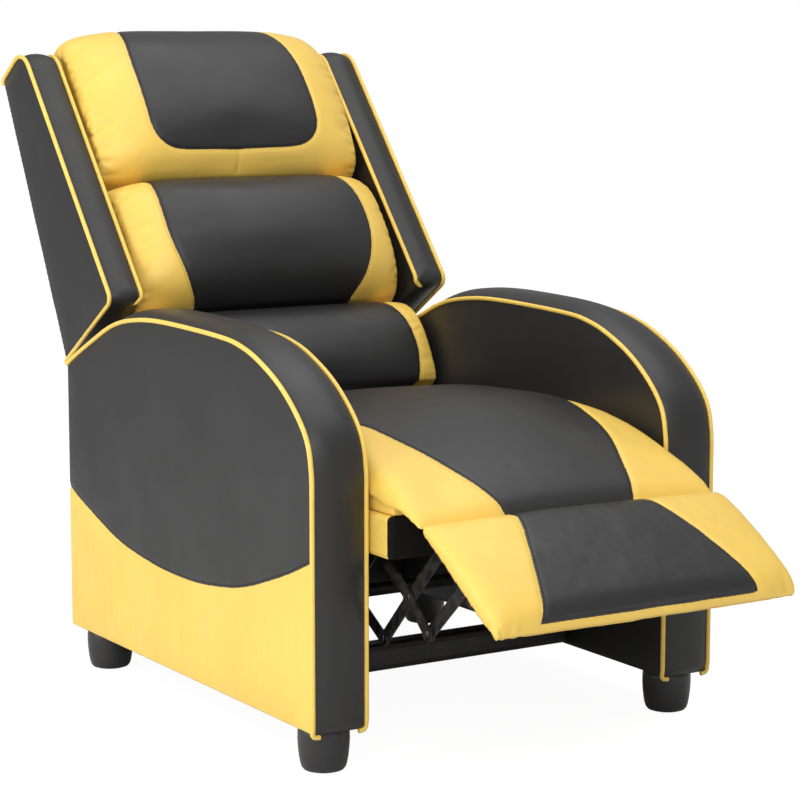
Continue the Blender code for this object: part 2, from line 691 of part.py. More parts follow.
def seat_cushion():
    """Crowned cushion with drawn-in sides on the seat box, higher towards the front."""
    front = SEAT_FRONT + GAP
    length = CUSHION_REAR - front
    floor = SEAT_BOX_TOP + GAP
    top = smooth([(front + y * length, z * CUSHION_HEIGHT) for y, z in SEAT_TOP_SHARES], SEAT_STEPS)
    rings = []
    for share in STATION_SHARES:
        x = share * SEAT_HALF_WIDTH
        lift = SEAT_CROWN * (1 - share ** 2) - SEAT_EDGE_DRAW * abs(share) ** END_POWER
        ring = [(x, y, floor + z + lift * min(1, z / CUSHION_HEIGHT)) for y, z in top]
        bottom = [(x, CUSHION_REAR, floor), (x, front + length / 2, floor), (x, front, floor)]
        rings.append(ring + bottom)
    return loft("seat_cushion", rings)


def make_flap(flap):
    """The padded flap that joins the seat to the footrest, above its hinge line."""
    run = Vector(SEAM) - Vector(FLAP_HINGE)
    forward = run.normalized()
    upward = Vector((forward.y, -forward.x))
    rings = []
    for share in STATION_SHARES:
        fill = 1 - FLAP_END_SHARE * abs(share) ** END_POWER
        rear = Vector((SEAT_FRONT, FLAP_HINGE[1]))
        loop = [rear, rear + Vector((0, FLAP_REAR_HEIGHT * fill))]
        for along, height in FLAP_TOP_SHARES:
            rise = FLAP_FRONT_HEIGHT + height * (FLAP_REAR_HEIGHT - FLAP_FRONT_HEIGHT)
            loop.append(Vector(FLAP_HINGE) + forward * (run.length - SEAM_GAP) * along + upward * rise * fill)
        loop.append(Vector(SEAM) - forward * GAP + upward * GAP)
        rings.append([(share * SEAT_HALF_WIDTH, *place) for place in loop])
    finish(loft("flap_pad", rings), BLACK_CLOTH, flap)


def footrest_section(thick):
    """The footrest pad's section: from the seam over the top, and over the board's front edge as a lip."""
    rest = -FOOTREST_BOARD - GAP
    top = [(along * FOOTREST_LENGTH, rest - thick * height) for along, height in FOOTREST_TOP_SHARES]
    lip = FOOTREST_LENGTH - FOOTREST_LIP + GAP
    return [(SEAM_GAP, rest), *top, (FOOTREST_LENGTH, rest), (FOOTREST_LENGTH - GAP, 0), (lip, 0), (lip, rest)]


def make_footrest(footrest):
    """Board, pad with its lip over the front edge, and a bracket on each side."""
    half = SEAT_HALF_WIDTH
    board = [on_footrest(along, below) for along, below in
             rectangle((SEAM_GAP, -FOOTREST_BOARD), (FOOTREST_LENGTH - FOOTREST_LIP, 0))]
    finish(plate("footrest_board", board, 0, 2 * (half - SIDE_GAP)), WOOD, footrest)
    rings = []
    for share in STATION_SHARES:
        fill = 1 - FOOTREST_END_SHARE * abs(share) ** END_POWER
        thick = FOOTREST_PAD * fill + FOOTREST_CROWN * (1 - share ** 2)
        rings.append([(share * half, *on_footrest(*place)) for place in footrest_section(thick)])
    finish(loft("footrest_pad", rings), BLACK_CLOTH, footrest)
    corners = [(BRACKET_START, GAP, WOOD_ROUND)]
    for along, drop in BRACKET_SHARES:
        corners.append((BRACKET_START + along * (BRACKET_END - BRACKET_START), drop * BRACKET_DROP, EYE_RADIUS))
    corners.append((BRACKET_END, GAP, WOOD_ROUND))
    outline = rounded([(*on_footrest(along, below), radius) for along, below, radius in corners])
    for side_name, side in sides():
        holes = [hole(eye, PIN_RADIUS + OPEN_PIN_PLAY) for eye in (REAR_EYE, FRONT_EYE)]
        bracket = plate(f"{side_name}_footrest_bracket", outline, side * BRACKET_X, holes=holes)
        flange_outline = [on_footrest(along, below) for along, below in
                          rectangle((2 * BRACKET_START, GAP), (BRACKET_END - BRACKET_START, GAP + SHEET))]
        flange = plate("flange", flange_outline, side * (BRACKET_X - FLANGE_WIDTH / 2), FLANGE_WIDTH)
        finish(fuse(bracket, flange), STEEL, footrest)


def make_links(lower, upper, rear, front):
    """The four footrest links of each side, with the rivets that they carry."""
    for side_name, side in sides():
        first, second = side * FIRST_LINK_X, side * SECOND_LINK_X
        first_face = side * (FIRST_LINK_X - SHEET / 2)
        past_second = side * (SECOND_LINK_X - SHEET / 2 - GAP)
        second_face = side * (SECOND_LINK_X - SHEET / 2)
        past_bracket = side * (BRACKET_X - SHEET / 2 - GAP)
        link = plate(f"{side_name}_lower_link", bar([LOWER_FIXED, REAR_KNEE]), first,
                     holes=[hole(LOWER_FIXED, PIN_RADIUS + PIN_PLAY)])
        finish(fuse(link, rivet(REAR_KNEE, first_face, past_second)), STEEL, lower)
        link = plate(f"{side_name}_upper_link", bar([UPPER_FIXED, CROSSING, FRONT_KNEE]), first,
                     holes=[hole(UPPER_FIXED, PIN_RADIUS + PIN_PLAY)])
        pins = [rivet(pivot, first_face, past_second) for pivot in (CROSSING, FRONT_KNEE)]
        finish(fuse(link, *pins), STEEL, upper)
        link = plate(f"{side_name}_rear_link", bar([REAR_KNEE, CROSSING, REAR_EYE]), second,
                     holes=[hole(REAR_KNEE, PIN_RADIUS + OPEN_PIN_PLAY), hole(CROSSING, PIN_RADIUS + PIN_PLAY)])
        finish(fuse(link, rivet(REAR_EYE, second_face, past_bracket)), STEEL, rear)
        link = plate(f"{side_name}_front_link", bar([FRONT_KNEE, FRONT_EYE]), second,
                     holes=[hole(FRONT_KNEE, PIN_RADIUS + PIN_PLAY)])
        finish(fuse(link, rivet(FRONT_EYE, second_face, past_bracket)), STEEL, front)


def wing_edge():
    """The wing's edge in the side view, from its rear top corner round the front to its rear low corner."""
    return rounded([(*on_back(WING_TOP, WING_HIGH_REAR), WING_REAR_ROUND),
                    (*on_back(WING_TOP, WING_HIGH_FRONT), WING_HIGH_ROUND),
                    (*on_back(WING_BOTTOM, WING_LOW_FRONT), WING_LOW_ROUND),
                    (*on_back(WING_BOTTOM, WING_LOW_REAR), 0)])


def roll(name, start, end, thickness, crown, top=()):
    """A back cushion: a crowned roll across the back with drawn-in ends; top is what folds over the frame."""
    rings = []
    middle, half = (start + end) / 2, (end - start) / 2
    for share in STATION_SHARES:
        drawn = abs(share) ** END_POWER
        depth = (thickness + crown * (1 - share ** 2)) * (1 - ROLL_END_SHARE * drawn)
        height = half * (1 - ROLL_SHORT_SHARE * drawn)
        loop = []
        for k in range(ROLL_STEPS + 1):
            angle = pi * (k / ROLL_STEPS - 1 / 2)
            along = middle + height * (1 if angle > 0 else -1) * abs(sin(angle)) ** ROLL_POWER
            loop.append((along, CUSHION_SEAT - depth * abs(cos(angle)) ** ROLL_POWER))
        rings.append([(share * ROLL_HALF_WIDTH, *on_back(*place)) for place in [*loop, *top]])
    return loft(name, rings)


def rear_line(along):
    """How far behind the pivot the back part's rear cover lies at a place along it."""
    slope = (WING_LOW_REAR - WING_HIGH_REAR) / (WING_TOP - WING_BOTTOM)
    return WING_LOW_REAR - slope * (along - WING_BOTTOM)


def back_cutter(low, high, front, x_from, x_to):
    """A cutter through the back part between two places along it, two depths and two sides."""
    corners = rectangle((low, front), (high, WING_LOW_REAR + FRAME_BOARD))
    outline = [on_back(along, across) for along, across in corners]
    return plate("cutter", outline, (x_from + x_to) / 2, abs(x_to - x_from))


def make_back_frame(back):
    """Timber frame with two windows, wider where it carries the wings, notched for the brackets."""
    behind = COVER_THICKNESS + GAP
    slab = [on_back(BACK_BOTTOM, FRAME_FRONT), on_back(BACK_TOP, FRAME_FRONT),
            on_back(BACK_TOP, rear_line(BACK_TOP) - behind), on_back(BACK_BOTTOM, rear_line(BACK_BOTTOM) - behind)]
    half, wide, inside = BACK_HALF_WIDTH, WING_INNER_X - GAP, BACK_HALF_WIDTH - FRAME_BOARD
    middle = (BACK_BOTTOM + BACK_TOP) / 2
    front = FRAME_FRONT - OVERRUN
    cutters = [back_cutter(BACK_BOTTOM + FRAME_BOARD, middle - FRAME_BOARD / 2, front, -inside, inside),
               back_cutter(middle + FRAME_BOARD / 2, BACK_TOP - FRAME_BOARD, front, -inside, inside)]
    notch_front = BRACKET_DEPTH - BAR_HALF_WIDTH - SIDE_GAP
    notch_half = SHEET / 2 + SIDE_GAP
    for _, side in sides():
        outside = side * (wide + OVERRUN)
        cutters.append(back_cutter(BACK_BOTTOM - OVERRUN, WING_BOTTOM + FRAME_BOARD, front, side * half, outside))
        cutters.append(back_cutter(BACK_TOP - FRAME_BOARD / 2, BACK_TOP + OVERRUN, front, side * half, outside))
        x = side * BACK_BRACKET_X
        cutters.append(back_cutter(BACK_BOTTOM - OVERRUN, BACK_BOTTOM + FRAME_BOARD + OVERRUN, notch_front,
                                   x - notch_half, x + notch_half))
    frame = fuse(plate("back_frame", slab, 0, 2 * wide), *cutters, operation="DIFFERENCE")
    finish(frame, WOOD, back)


def make_back(back):
    """Frame, webbing, rear cover, wings with piping, cushions and brackets."""
    path = wing_edge()
    for side_name, side in sides():
        wing = crowned_slab(f"{side_name}_wing", path, side * WING_INNER_X, side * WING_OUTER_X, WING_CROWN)
        finish(wing, BLACK_CLOTH, back)
        outer = piping(f"{side_name}_wing_outer_piping", path, side * WING_OUTER_X, side)
        finish(outer, YELLOW_CLOTH, back)
        inner = piping(f"{side_name}_wing_inner_piping", path[CORNER_STEPS + 1:-1], side * WING_INNER_X, -side)
        finish(inner, YELLOW_CLOTH, back)
    half = BACK_HALF_WIDTH
    make_back_frame(back)
    webbing = back_plate("back_webbing", straps((-half, BACK_BOTTOM), (half, BACK_TOP)),
                         FRAME_FRONT - GAP - WEBBING_THICKNESS / 2, WEBBING_THICKNESS)
    finish(webbing, WEBBING, back)
    cover = [on_back(along, rear_line(along) - depth) for along, depth in
             ((BACK_TOP, COVER_THICKNESS), (BACK_TOP, 0), (BACK_BOTTOM, 0), (BACK_BOTTOM, COVER_THICKNESS))]
    finish(plate("back_cover", cover, 0, 2 * half), BLACK_CLOTH, back)
    rest = BACK_TOP + GAP
    over_top = [(BACK_TOP + HEAD_TOP_HEIGHT, HEAD_TOP_REAR), (rest, HEAD_TOP_REAR), (rest, CUSHION_SEAT)]
    head = roll("head_cushion", HEAD_FROM, HEAD_TO, HEAD_THICKNESS, HEAD_CROWN, over_top)
    finish(head, YELLOW_CLOTH, back)
    finish(roll("lumbar_cushion", LUMBAR_FROM, LUMBAR_TO, LUMBAR_THICKNESS, LUMBAR_CROWN), BLACK_CLOTH, back)
    finish(roll("lower_cushion", LOWER_FROM, LOWER_TO, LOWER_THICKNESS, LOWER_CROWN), BLACK_CLOTH, back)
    arm = [BACK_PIVOT, on_back(BACK_BOTTOM / 2, BRACKET_DEPTH), on_back(BACK_BRACKET_TOP, BRACKET_DEPTH)]
    for side_name, side in sides():
        bracket = plate(f"{side_name}_back_bracket", bar(arm), side * BACK_BRACKET_X,
                        holes=[hole(BACK_PIVOT, PIN_RADIUS + PIN_PLAY)])
        finish(bracket, STEEL, back)


def stand_over_origin(root):
    """Sets the chair with the middle of its box over the origin."""
    bpy.context.view_layer.update()
    graph = bpy.context.evaluated_depsgraph_get()
    places = [made.matrix_world @ vert.co for made in PARTS.objects if made.type == "MESH"
              for vert in made.evaluated_get(graph).data.vertices]
    low = min(place.y for place in places)
    high = max(place.y for place in places)
    root.location.y = -(low + high) / 2
    print("middle of the chair's box, from the arms' front:", round((low + high) / 2, 6))


for old in list(bpy.data.objects):
    bpy.data.objects.remove(old)

PARTS = collection("push_back_recliner")
CUTTERS = collection("cutters")
PIVOT_PLACES = {}
BLACK_CLOTH = material("black_cloth", (0.045, 0.043, 0.043), 0.42)
YELLOW_CLOTH = material("yellow_cloth", (0.93, 0.62, 0.12), 0.45)
BLACK_PLASTIC = material("black_plastic", (0.03, 0.03, 0.032), 0.4)
STEEL = material("black_steel", (0.008, 0.008, 0.009), 0.35, 0.6)
WOOD = material("wood", (0.45, 0.28, 0.14), 0.7)
WEBBING = material("webbing", (0.06, 0.06, 0.06), 0.85)

ROOT = axis("chair_axis", (0, 0))
FRONT_SWING = axis("front_swing_axis", FRONT_SWING_LOW, ROOT)
REAR_SWING = axis("rear_swing_axis", REAR_SWING_LOW, ROOT)
SEAT = axis("seat_axis", FRONT_SWING_TOP, FRONT_SWING)
BACK = axis("back_axis", BACK_PIVOT, SEAT)
FLAP = axis("flap_axis", FLAP_HINGE, SEAT)
FOOTREST = axis("footrest_axis", SEAM, FLAP)
LOWER_LINK = axis("lower_link_axis", LOWER_FIXED, SEAT)
UPPER_LINK = axis("upper_link_axis", UPPER_FIXED, SEAT)
REAR_LINK = axis("rear_link_axis", CROSSING, UPPER_LINK)
FRONT_LINK = axis("front_link_axis", FRONT_KNEE, UPPER_LINK)

make_arms(ROOT)
make_base(ROOT)
make_swings(FRONT_SWING, REAR_SWING)
make_seat(SEAT)
make_flap(FLAP)
make_footrest(FOOTREST)
make_links(LOWER_LINK, UPPER_LINK, REAR_LINK, FRONT_LINK)
make_back(BACK)
stand_over_origin(ROOT)
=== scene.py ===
"""Looks of a push-back recliner armchair, footrest out, in black and yellow leather-look cloth.

Metres, +Z up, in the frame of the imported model: the front of the chair faces -Y and left is -X.
Each operator dresses one group of pieces, and one more lights the chair and sets the camera.
"""

import json
from math import ceil, cos, pi, radians, sin, tan

import bmesh
import bpy
import numpy as np
from mathutils import Matrix, Vector, noise
from mathutils.bvhtree import BVHTree
from mathutils.kdtree import KDTree


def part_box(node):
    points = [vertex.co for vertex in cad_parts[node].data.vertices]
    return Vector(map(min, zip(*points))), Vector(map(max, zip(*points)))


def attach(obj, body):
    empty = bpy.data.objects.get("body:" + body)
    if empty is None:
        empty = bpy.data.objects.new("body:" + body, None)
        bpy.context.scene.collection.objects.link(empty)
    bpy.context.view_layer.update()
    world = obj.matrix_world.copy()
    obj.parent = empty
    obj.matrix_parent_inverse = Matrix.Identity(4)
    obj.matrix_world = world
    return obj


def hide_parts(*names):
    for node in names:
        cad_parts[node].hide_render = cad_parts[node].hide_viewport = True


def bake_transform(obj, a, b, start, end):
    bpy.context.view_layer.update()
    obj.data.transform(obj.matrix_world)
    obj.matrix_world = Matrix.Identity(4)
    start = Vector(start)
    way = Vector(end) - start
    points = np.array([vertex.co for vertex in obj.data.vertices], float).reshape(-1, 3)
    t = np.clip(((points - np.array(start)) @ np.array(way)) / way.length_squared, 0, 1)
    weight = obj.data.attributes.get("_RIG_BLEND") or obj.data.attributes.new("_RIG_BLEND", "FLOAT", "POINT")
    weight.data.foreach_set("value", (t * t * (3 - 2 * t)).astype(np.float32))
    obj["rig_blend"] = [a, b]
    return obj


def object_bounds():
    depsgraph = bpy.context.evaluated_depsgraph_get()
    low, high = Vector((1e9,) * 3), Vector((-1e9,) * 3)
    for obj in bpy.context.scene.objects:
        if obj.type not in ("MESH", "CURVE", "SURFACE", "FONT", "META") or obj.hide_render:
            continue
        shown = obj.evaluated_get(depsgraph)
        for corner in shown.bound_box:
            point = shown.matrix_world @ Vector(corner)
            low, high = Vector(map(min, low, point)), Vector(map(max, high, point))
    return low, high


bl_info = {
    "name": "Push-back recliner dressing",
    "version": (1, 0, 0),
    "blender": (4, 5, 0),
    "location": "3D View > Sidebar > Recliner",
    "description": "Upholstery, piping, stitching, finishes and a studio for a push-back recliner",
    "category": "Object",
}

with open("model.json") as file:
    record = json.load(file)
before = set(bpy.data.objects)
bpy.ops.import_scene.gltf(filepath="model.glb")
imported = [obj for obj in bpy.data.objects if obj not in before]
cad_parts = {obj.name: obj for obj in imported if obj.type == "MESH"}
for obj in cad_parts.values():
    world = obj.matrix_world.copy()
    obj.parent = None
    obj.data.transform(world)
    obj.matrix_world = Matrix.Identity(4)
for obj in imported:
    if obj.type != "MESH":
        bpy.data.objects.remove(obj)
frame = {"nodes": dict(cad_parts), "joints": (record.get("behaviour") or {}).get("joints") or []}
CAD_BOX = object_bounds()

MM = 0.001

# Clearance between pieces, the piping, how far it stands out, how far the cloth bulges between its piping
GAP = 0.3 * MM
BEAD = 3.3 * MM
BEAD_OUT = 0.8 * MM
WING_BEAD_OUT = 1.4 * MM
WING_CROWN = 6 * MM
ARM_CROWN = 9 * MM
# The arm's top bulges further: by this much, rising and falling between these shares of its depth
ARM_TOP_CROWN = 6.5 * MM
ARM_TOP_CROWN_SHARES = (0.15, 0.4, 0.7, 0.92)
ARM_FULLNESS = 2.5
# How far in from their piping the arms' and the wings' sides reach their full puff, and the wings' puff
ARM_PUFF_REACH = 22 * MM
WING_PUFF_REACH = 20 * MM
WING_OUTER_PUFF = 4 * MM
WING_INNER_PUFF = 0.5 * MM
# Points this near a side face lie on it
ON_FACE = 1.5 * MM

# From a seam to its stitches, from the cloth to a stitch's middle, steps along seams and search paths
STITCH_INSET = 3.4 * MM
EDGE_STITCH_INSET = -3.2 * MM
STITCH_LIFT = 0.15 * MM
SEAM_STEP = 3 * MM
FINE_STEP = 2 * MM
# Rays that look for a surface start this far off; points with no seam near count as this far from one
FAR = 400 * MM
NO_SEAM = 100 * MM

# The cloth simulation
CLOTH_FRAMES = 20
CLOTH_SETTINGS = {
    "quality": 5, "mass": 0.3, "tension_stiffness": 12, "compression_stiffness": 6, "shear_stiffness": 4,
    "bending_stiffness": 0.4, "use_pressure": True,
}

SIDES = (("left", -1), ("right", 1))

# Places taken from the frame: joint axes, the arms, the wings, the seat box and the cushions
JOINTS = {joint["name"]: Vector(joint["pos_m"]) for joint in frame["joints"]}
BACK_PIVOT = JOINTS["back_recline"]
FLAP_HINGE = JOINTS["flap_fold"]
SEAM = JOINTS["footrest_fold"]
ARM_LOW, ARM_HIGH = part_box("left_arm")
PANEL_LOW, PANEL_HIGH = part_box("left_arm_panel")
ARM_FRONT = PANEL_LOW.y - GAP
ARM_REAR = PANEL_HIGH.y + GAP
ARM_BOTTOM = ARM_LOW.z
ARM_TOP = ARM_HIGH.z - ARM_CROWN
ARM_OUTER_X = -ARM_LOW.x
ARM_INNER_X = -ARM_HIGH.x
WING_LOW, WING_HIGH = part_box("left_wing")
WING_OUTER_X = -WING_LOW.x
WING_INNER_X = -WING_HIGH.x
SEAT_LOW, SEAT_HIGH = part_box("seat_box")
SEAT_HALF = SEAT_HIGH.x
COVER_HALF = SEAT_HALF - 0.5 * MM
CUSHION_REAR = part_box("seat_cushion")[1].y
ROLL_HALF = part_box("lumbar_cushion")[1].x

# Lean of the back part, and where its frame's front lies across it
BACK_TILT = radians(33)
FRAME_FRONT = 5.9 * MM
# The open footrest: how steeply it falls, how long it is, its board's thickness and half width
FOOTREST_SLOPE = radians(32.6)
FOOTREST_LENGTH = 204 * MM
FOOTREST_BOARD = 10 * MM
FOOTREST_BOARD_HALF = 231 * MM
# Cloth turned under the board: its thickness, and how far it reaches in
HEM = 0.9 * MM
HEM_MARGIN = 24 * MM

# Rear top corner over the top to the front, as shares of the arm's depth and of its height
ARM_TOP_SHARES = [
    (1.0, 0.81), (0.965, 0.838), (0.88, 0.897), (0.787, 0.956), (0.697, 0.986), (0.568, 1.0), (0.333, 0.994),
    (0.243, 0.978), (0.175, 0.946), (0.107, 0.897), (0.047, 0.829), (0.012, 0.762), (0.0, 0.68),
]
# Seam between the black and the yellow cloth on the arm's outer side, front to rear, as the same shares
PANEL_SEAM_SHARES = [
    (0.0, 0.46), (0.073, 0.413), (0.145, 0.375), (0.22, 0.339), (0.297, 0.313), (0.416, 0.292), (0.5, 0.288),
    (0.583, 0.292), (0.669, 0.304), (0.76, 0.325), (0.85, 0.363), (0.943, 0.409), (1.0, 0.436),
]
# Wing corners: along the back, across it towards the rear, radius
WING_CORNERS = [(along * MM, across * MM, radius * MM) for along, across, radius in
                ((713, 65, 8), (713, -30, 40), (232, -88, 12), (232, 112, 0))]

# All the tables below are in millimetres
# Back cushions: sections (along, across) from the rear low corner round the front to the rear top corner
HEAD_SECTION = [
    (462, 5), (461, -20), (464, -50), (473, -76), (490, -92), (518, -101), (556, -105), (600, -103),
    (645, -96), (686, -83), (718, -66), (739, -46), (750, -24), (752, -4), (748, 18), (738, 38), (719, 46),
    (718, 5),
]
LUMBAR_SECTION = [
    (231, 5), (229, -24), (233, -56), (246, -85), (269, -105), (304, -116), (345, -118), (385, -113),
    (418, -100), (444, -77), (456, -48), (459, -20), (458, 5),
]
LOWER_SECTION = [
    (66, 5), (61, -30), (60, -66), (68, -86), (100, -95), (140, -96), (172, -91), (200, -77), (220, -54),
    (227, -26), (226, 5),
]
# Over every cushion
BACK_TOP = 760 * MM
# From here up the head cushion grows narrower over a rise, by this much on each side
TOP_FROM = 690 * MM
TOP_RISE = 40 * MM
TOP_DRAWN = 5 * MM
# Half widths of the cushions' black panels, at places along the back
HEAD_PANEL = [(790, 104), (740, 130), (700, 142), (650, 150), (600, 152), (555, 152), (530, 150), (512, 143),
              (499, 130), (492, 110), (490, 80)]
LUMBAR_PANEL = [(480, 158), (436, 171), (400, 177), (360, 180), (320, 178), (285, 170), (252, 157),
                (232, 142), (215, 132)]
LOWER_PANEL = [(240, 182), (215, 192), (185, 201), (150, 207), (115, 208), (85, 203), (55, 196)]

# Seat, from its rear end to the seam with the footrest: distance from the arms' front, height of the top
# edge above the floor, crown in the middle, half width of the black panel
SEAT_STATIONS = [
    (545, 398, 10, 250), (530, 410, 10, 250), (500, 417, 10, 250), (430, 426, 10, 248), (340, 434, 10, 238),
    (300, 436, 10, 230), (230, 440, 10, 211), (170, 442, 10, 193), (115, 441, 10, 178), (87, 437, 11, 172),
    (50, 429, 12, 165), (10, 416, 13, 154), (-24, 402, 14, 142), (-58, 387, 14, 128), (-87, 374, 12, 117),
    (-103, 365, 9, 110), (-112, 356, 5, 106), (-118, 347, 1, 104),
]
# Lower seam of the seat's side: distance from the arms' front, height above the floor
SEAT_HEM = [(60, 380), (30, 377), (4, 373), (-10, 370), (-30, 365), (-50, 364), (-70, 361), (-90, 354),
            (-108, 347)]
# Footrest, from the seam to its front edge: along it, height over the board's underside, half width of
# the black panel
FOOTREST_STATIONS = [
    (1, 9, 106), (5, 14, 107), (12, 19, 108), (23, 24, 110), (45, 28, 117), (75, 31, 128), (105, 32, 139),
    (140, 32, 151), (166, 31, 160), (184, 28, 166), (196, 21, 171), (202, 12, 174), (204, 4, 175),
]
# Height of the seam along the footrest's front edge
FOOTREST_FRONT_SEAM = 17 * MM

# Rivets on the footrest's links in the side view, from the arms' front and the floor
LINK_RIVETS = {
    "lower_link": [(9.6, 176.0)],
    "upper_link": [(-55.2, 243.6), (-100.4, 203.7)],
    "rear_link": [(-129.9, 318.8)],
    "front_link": [(-177.2, 273.7)],
}


def at(x, y, z):
    """A place given from the middle of the seat, the arms' front and the floor."""
    return Vector((x, y + ARM_FRONT, z))


def on_back(x, along, across):
    """A place of the back part, along it from the recline axis and across it towards the rear."""
    return Vector((x, BACK_PIVOT.y + along * sin(BACK_TILT) + across * cos(BACK_TILT),
                   BACK_PIVOT.z + along * cos(BACK_TILT) - across * sin(BACK_TILT)))


def to_back(points):
    """Along and across values of an array of places of the back part."""
    y, z = points[:, 1] - BACK_PIVOT.y, points[:, 2] - BACK_PIVOT.z
    return y * sin(BACK_TILT) + z * cos(BACK_TILT), y * cos(BACK_TILT) - z * sin(BACK_TILT)


def on_footrest(x, along, above):
    """A place of the footrest, above the underside of its board."""
    return Vector((x, SEAM.y - along * cos(FOOTREST_SLOPE) - above * sin(FOOTREST_SLOPE),
                   SEAM.z - along * sin(FOOTREST_SLOPE) + above * cos(FOOTREST_SLOPE)))


def to_footrest(points):
    """Along and above values of an array of places of the footrest."""
    y, z = points[:, 1] - SEAM.y, points[:, 2] - SEAM.z
    return (-y * cos(FOOTREST_SLOPE) - z * sin(FOOTREST_SLOPE),
            -y * sin(FOOTREST_SLOPE) + z * cos(FOOTREST_SLOPE))


def smooth(points, steps):
    """Points on a smooth curve through an open list of points, in any number of dimensions."""
    rows = np.array([points[0], *points, points[-1]], float)
    result = []
    for a, b, c, d in zip(rows, rows[1:], rows[2:], rows[3:]):
        for i in range(steps):
            t = i / steps
            result.append(b + t * (c - a) / 2 + t * t * (a - 5 * b / 2 + 2 * c - d / 2)
                          + t ** 3 * (3 * (b - c) + d - a) / 2)
    return np.array([*result, rows[-1]])


def curve_of(rows, steps):
    """A smooth curve through rows of millimetres, in metres."""
    return smooth(np.array(rows, float) * MM, steps)


def ramp(distance, reach):
    """A share that rises from 0 at no distance to 1 at a reach."""
    return np.clip(distance / reach, 0, 1)


def near(distance, reach):
    """A share that falls from 1 at no distance to 0 at a reach."""
    return np.clip(1 - distance / reach, 0, 1)


def resample(points, step):
    """Points on an open path at an even step."""
    points = np.asarray(points, float)
    reach = np.concatenate([[0], np.cumsum(np.linalg.norm(np.diff(points, axis=0), axis=1))])
    count = max(2, ceil(reach[-1] / step) + 1)
    places = np.linspace(0, reach[-1], count)
    return np.stack([np.interp(places, reach, points[:, k]) for k in range(points.shape[1])], 1)


def directions(path):
    """The direction of a path at each of its points."""
    run = np.gradient(path, axis=0)
    return run / np.linalg.norm(run, axis=1)[:, None]


def offset(points, distance):
    """An open path in a plane moved to its left by a distance."""
    points = np.asarray(points, float)
    run = directions(points)
    return points + distance * np.stack([-run[:, 1], run[:, 0]], 1)


def rounded(corners, steps=10):
    """An open outline through corners (y, z, radius), each turned into an arc; radius 0 stays sharp."""
    result = []
    for i, (y, z, radius) in enumerate(corners):
        here = Vector((y, z))
        if radius == 0:
            result.append(here)
            continue
        back = (Vector(corners[i - 1][:2]) - here).normalized()
        ahead = (Vector(corners[(i + 1) % len(corners)][:2]) - here).normalized()
        half = back.angle(ahead) / 2
        middle = here + (back + ahead).normalized() * radius / sin(half)
        first = here + back * radius / tan(half) - middle
        turn = first.angle_signed(here + ahead * radius / tan(half) - middle)
        for k in range(steps + 1):
            result.append(middle + Matrix.Rotation(-turn * k / steps, 2) @ first)
    return result


def in_space(points):
    """Rows of two or three values as rows of three."""
    return np.pad(points, ((0, 0), (0, 3 - points.shape[1])))


def point_tree(points):
    """A search tree over an array of places."""
    tree = KDTree(len(points))
    for i, place in enumerate(in_space(points)):
        tree.insert(place, i)
    tree.balance()
    return tree


def distance_to_path(points, path):
    """Distance of each point of an array to a path, both in a plane or both in space."""
    tree = point_tree(resample(path, FINE_STEP))
    return np.array([tree.find(place)[2] for place in in_space(points)])


def read_points(mesh, label):
    """One vector of each of a mesh's points, as an array."""
    values = np.zeros(len(mesh.vertices) * 3, np.float32)
    mesh.vertices.foreach_get(label, values)
    return values.reshape(-1, 3).astype(float)


def coordinates(mesh):
    """A mesh's points as an array."""
    return read_points(mesh, "co")


def push(made, heights):
    """Moves a piece's points along their normals."""
    places = coordinates(made.data) + read_points(made.data, "normal") * heights[:, None]
    set_coordinates(made.data, places)


def set_coordinates(mesh, places):
    """Writes an array back to a mesh's points."""
    mesh.vertices.foreach_set("co", np.asarray(places, np.float32).ravel())
    mesh.update()


def set_attribute(mesh, name, values):
    """Stores one number for each point of a mesh."""
    layer = mesh.attributes.get(name) or mesh.attributes.new(name, "FLOAT", "POINT")
    layer.data.foreach_set("value", np.asarray(values, np.float32))


def new_object(name, mesh):
    """A mesh as an object of the scene."""
    made = bpy.data.objects.new(name, mesh)
    bpy.context.scene.collection.objects.link(made)
    return made


def from_bmesh(name, bm):
    """An object from a bmesh, its doubles merged and its faces turned outwards."""
    bmesh.ops.remove_doubles(bm, verts=bm.verts, dist=0.01 * MM)
    bmesh.ops.recalc_face_normals(bm, faces=bm.faces)
    mesh = bpy.data.meshes.new(name)
    bm.to_mesh(mesh)
    bm.free()
    mesh.shade_smooth()
    return new_object(name, mesh)


def baked(source):
    """Applies an object's modifiers and returns it with the plain mesh that they make."""
    bpy.context.view_layer.update()
    graph = bpy.context.evaluated_depsgraph_get()
    mesh = bpy.data.meshes.new_from_object(source.evaluated_get(graph))
    old = source.data
    source.modifiers.clear()
    source.data = mesh
    if old.users == 0:
        bpy.data.meshes.remove(old)
    return source


def loft(name, rings):
    """A closed solid through rings of as many points each."""
    bm = bmesh.new()
    rows = [[bm.verts.new(place) for place in ring] for ring in rings]
    for lower, upper in zip(rows, rows[1:]):
        for i in range(len(lower)):
            j = (i + 1) % len(lower)
            bm.faces.new((lower[i], lower[j], upper[j], upper[i]))
    bm.faces.new(rows[0])
    bm.faces.new(rows[-1])
    return from_bmesh(name, bm)


def modified(made, kind, **settings):
    """Applies one modifier to a piece."""
    modifier = made.modifiers.new(kind, kind)
    for name, value in settings.items():
        setattr(modifier, name, value)
    return baked(made)


def even_quads(made, size):
    """Even quads all over a closed solid, without the stair steps that they come with."""
    modified(made, "REMESH", mode="VOXEL", voxel_size=size, use_smooth_shade=True)
    modified(made, "SMOOTH", iterations=2, factor=0.5)


def refine(made):
    """Subdivides a piece once."""
    modified(made, "SUBSURF", levels=1, render_levels=1)


def surface(made):
    """A tree for finding places on a piece's surface."""
    return BVHTree.FromPolygons([vert.co for vert in made.data.vertices],
                                [face.vertices for face in made.data.polygons])


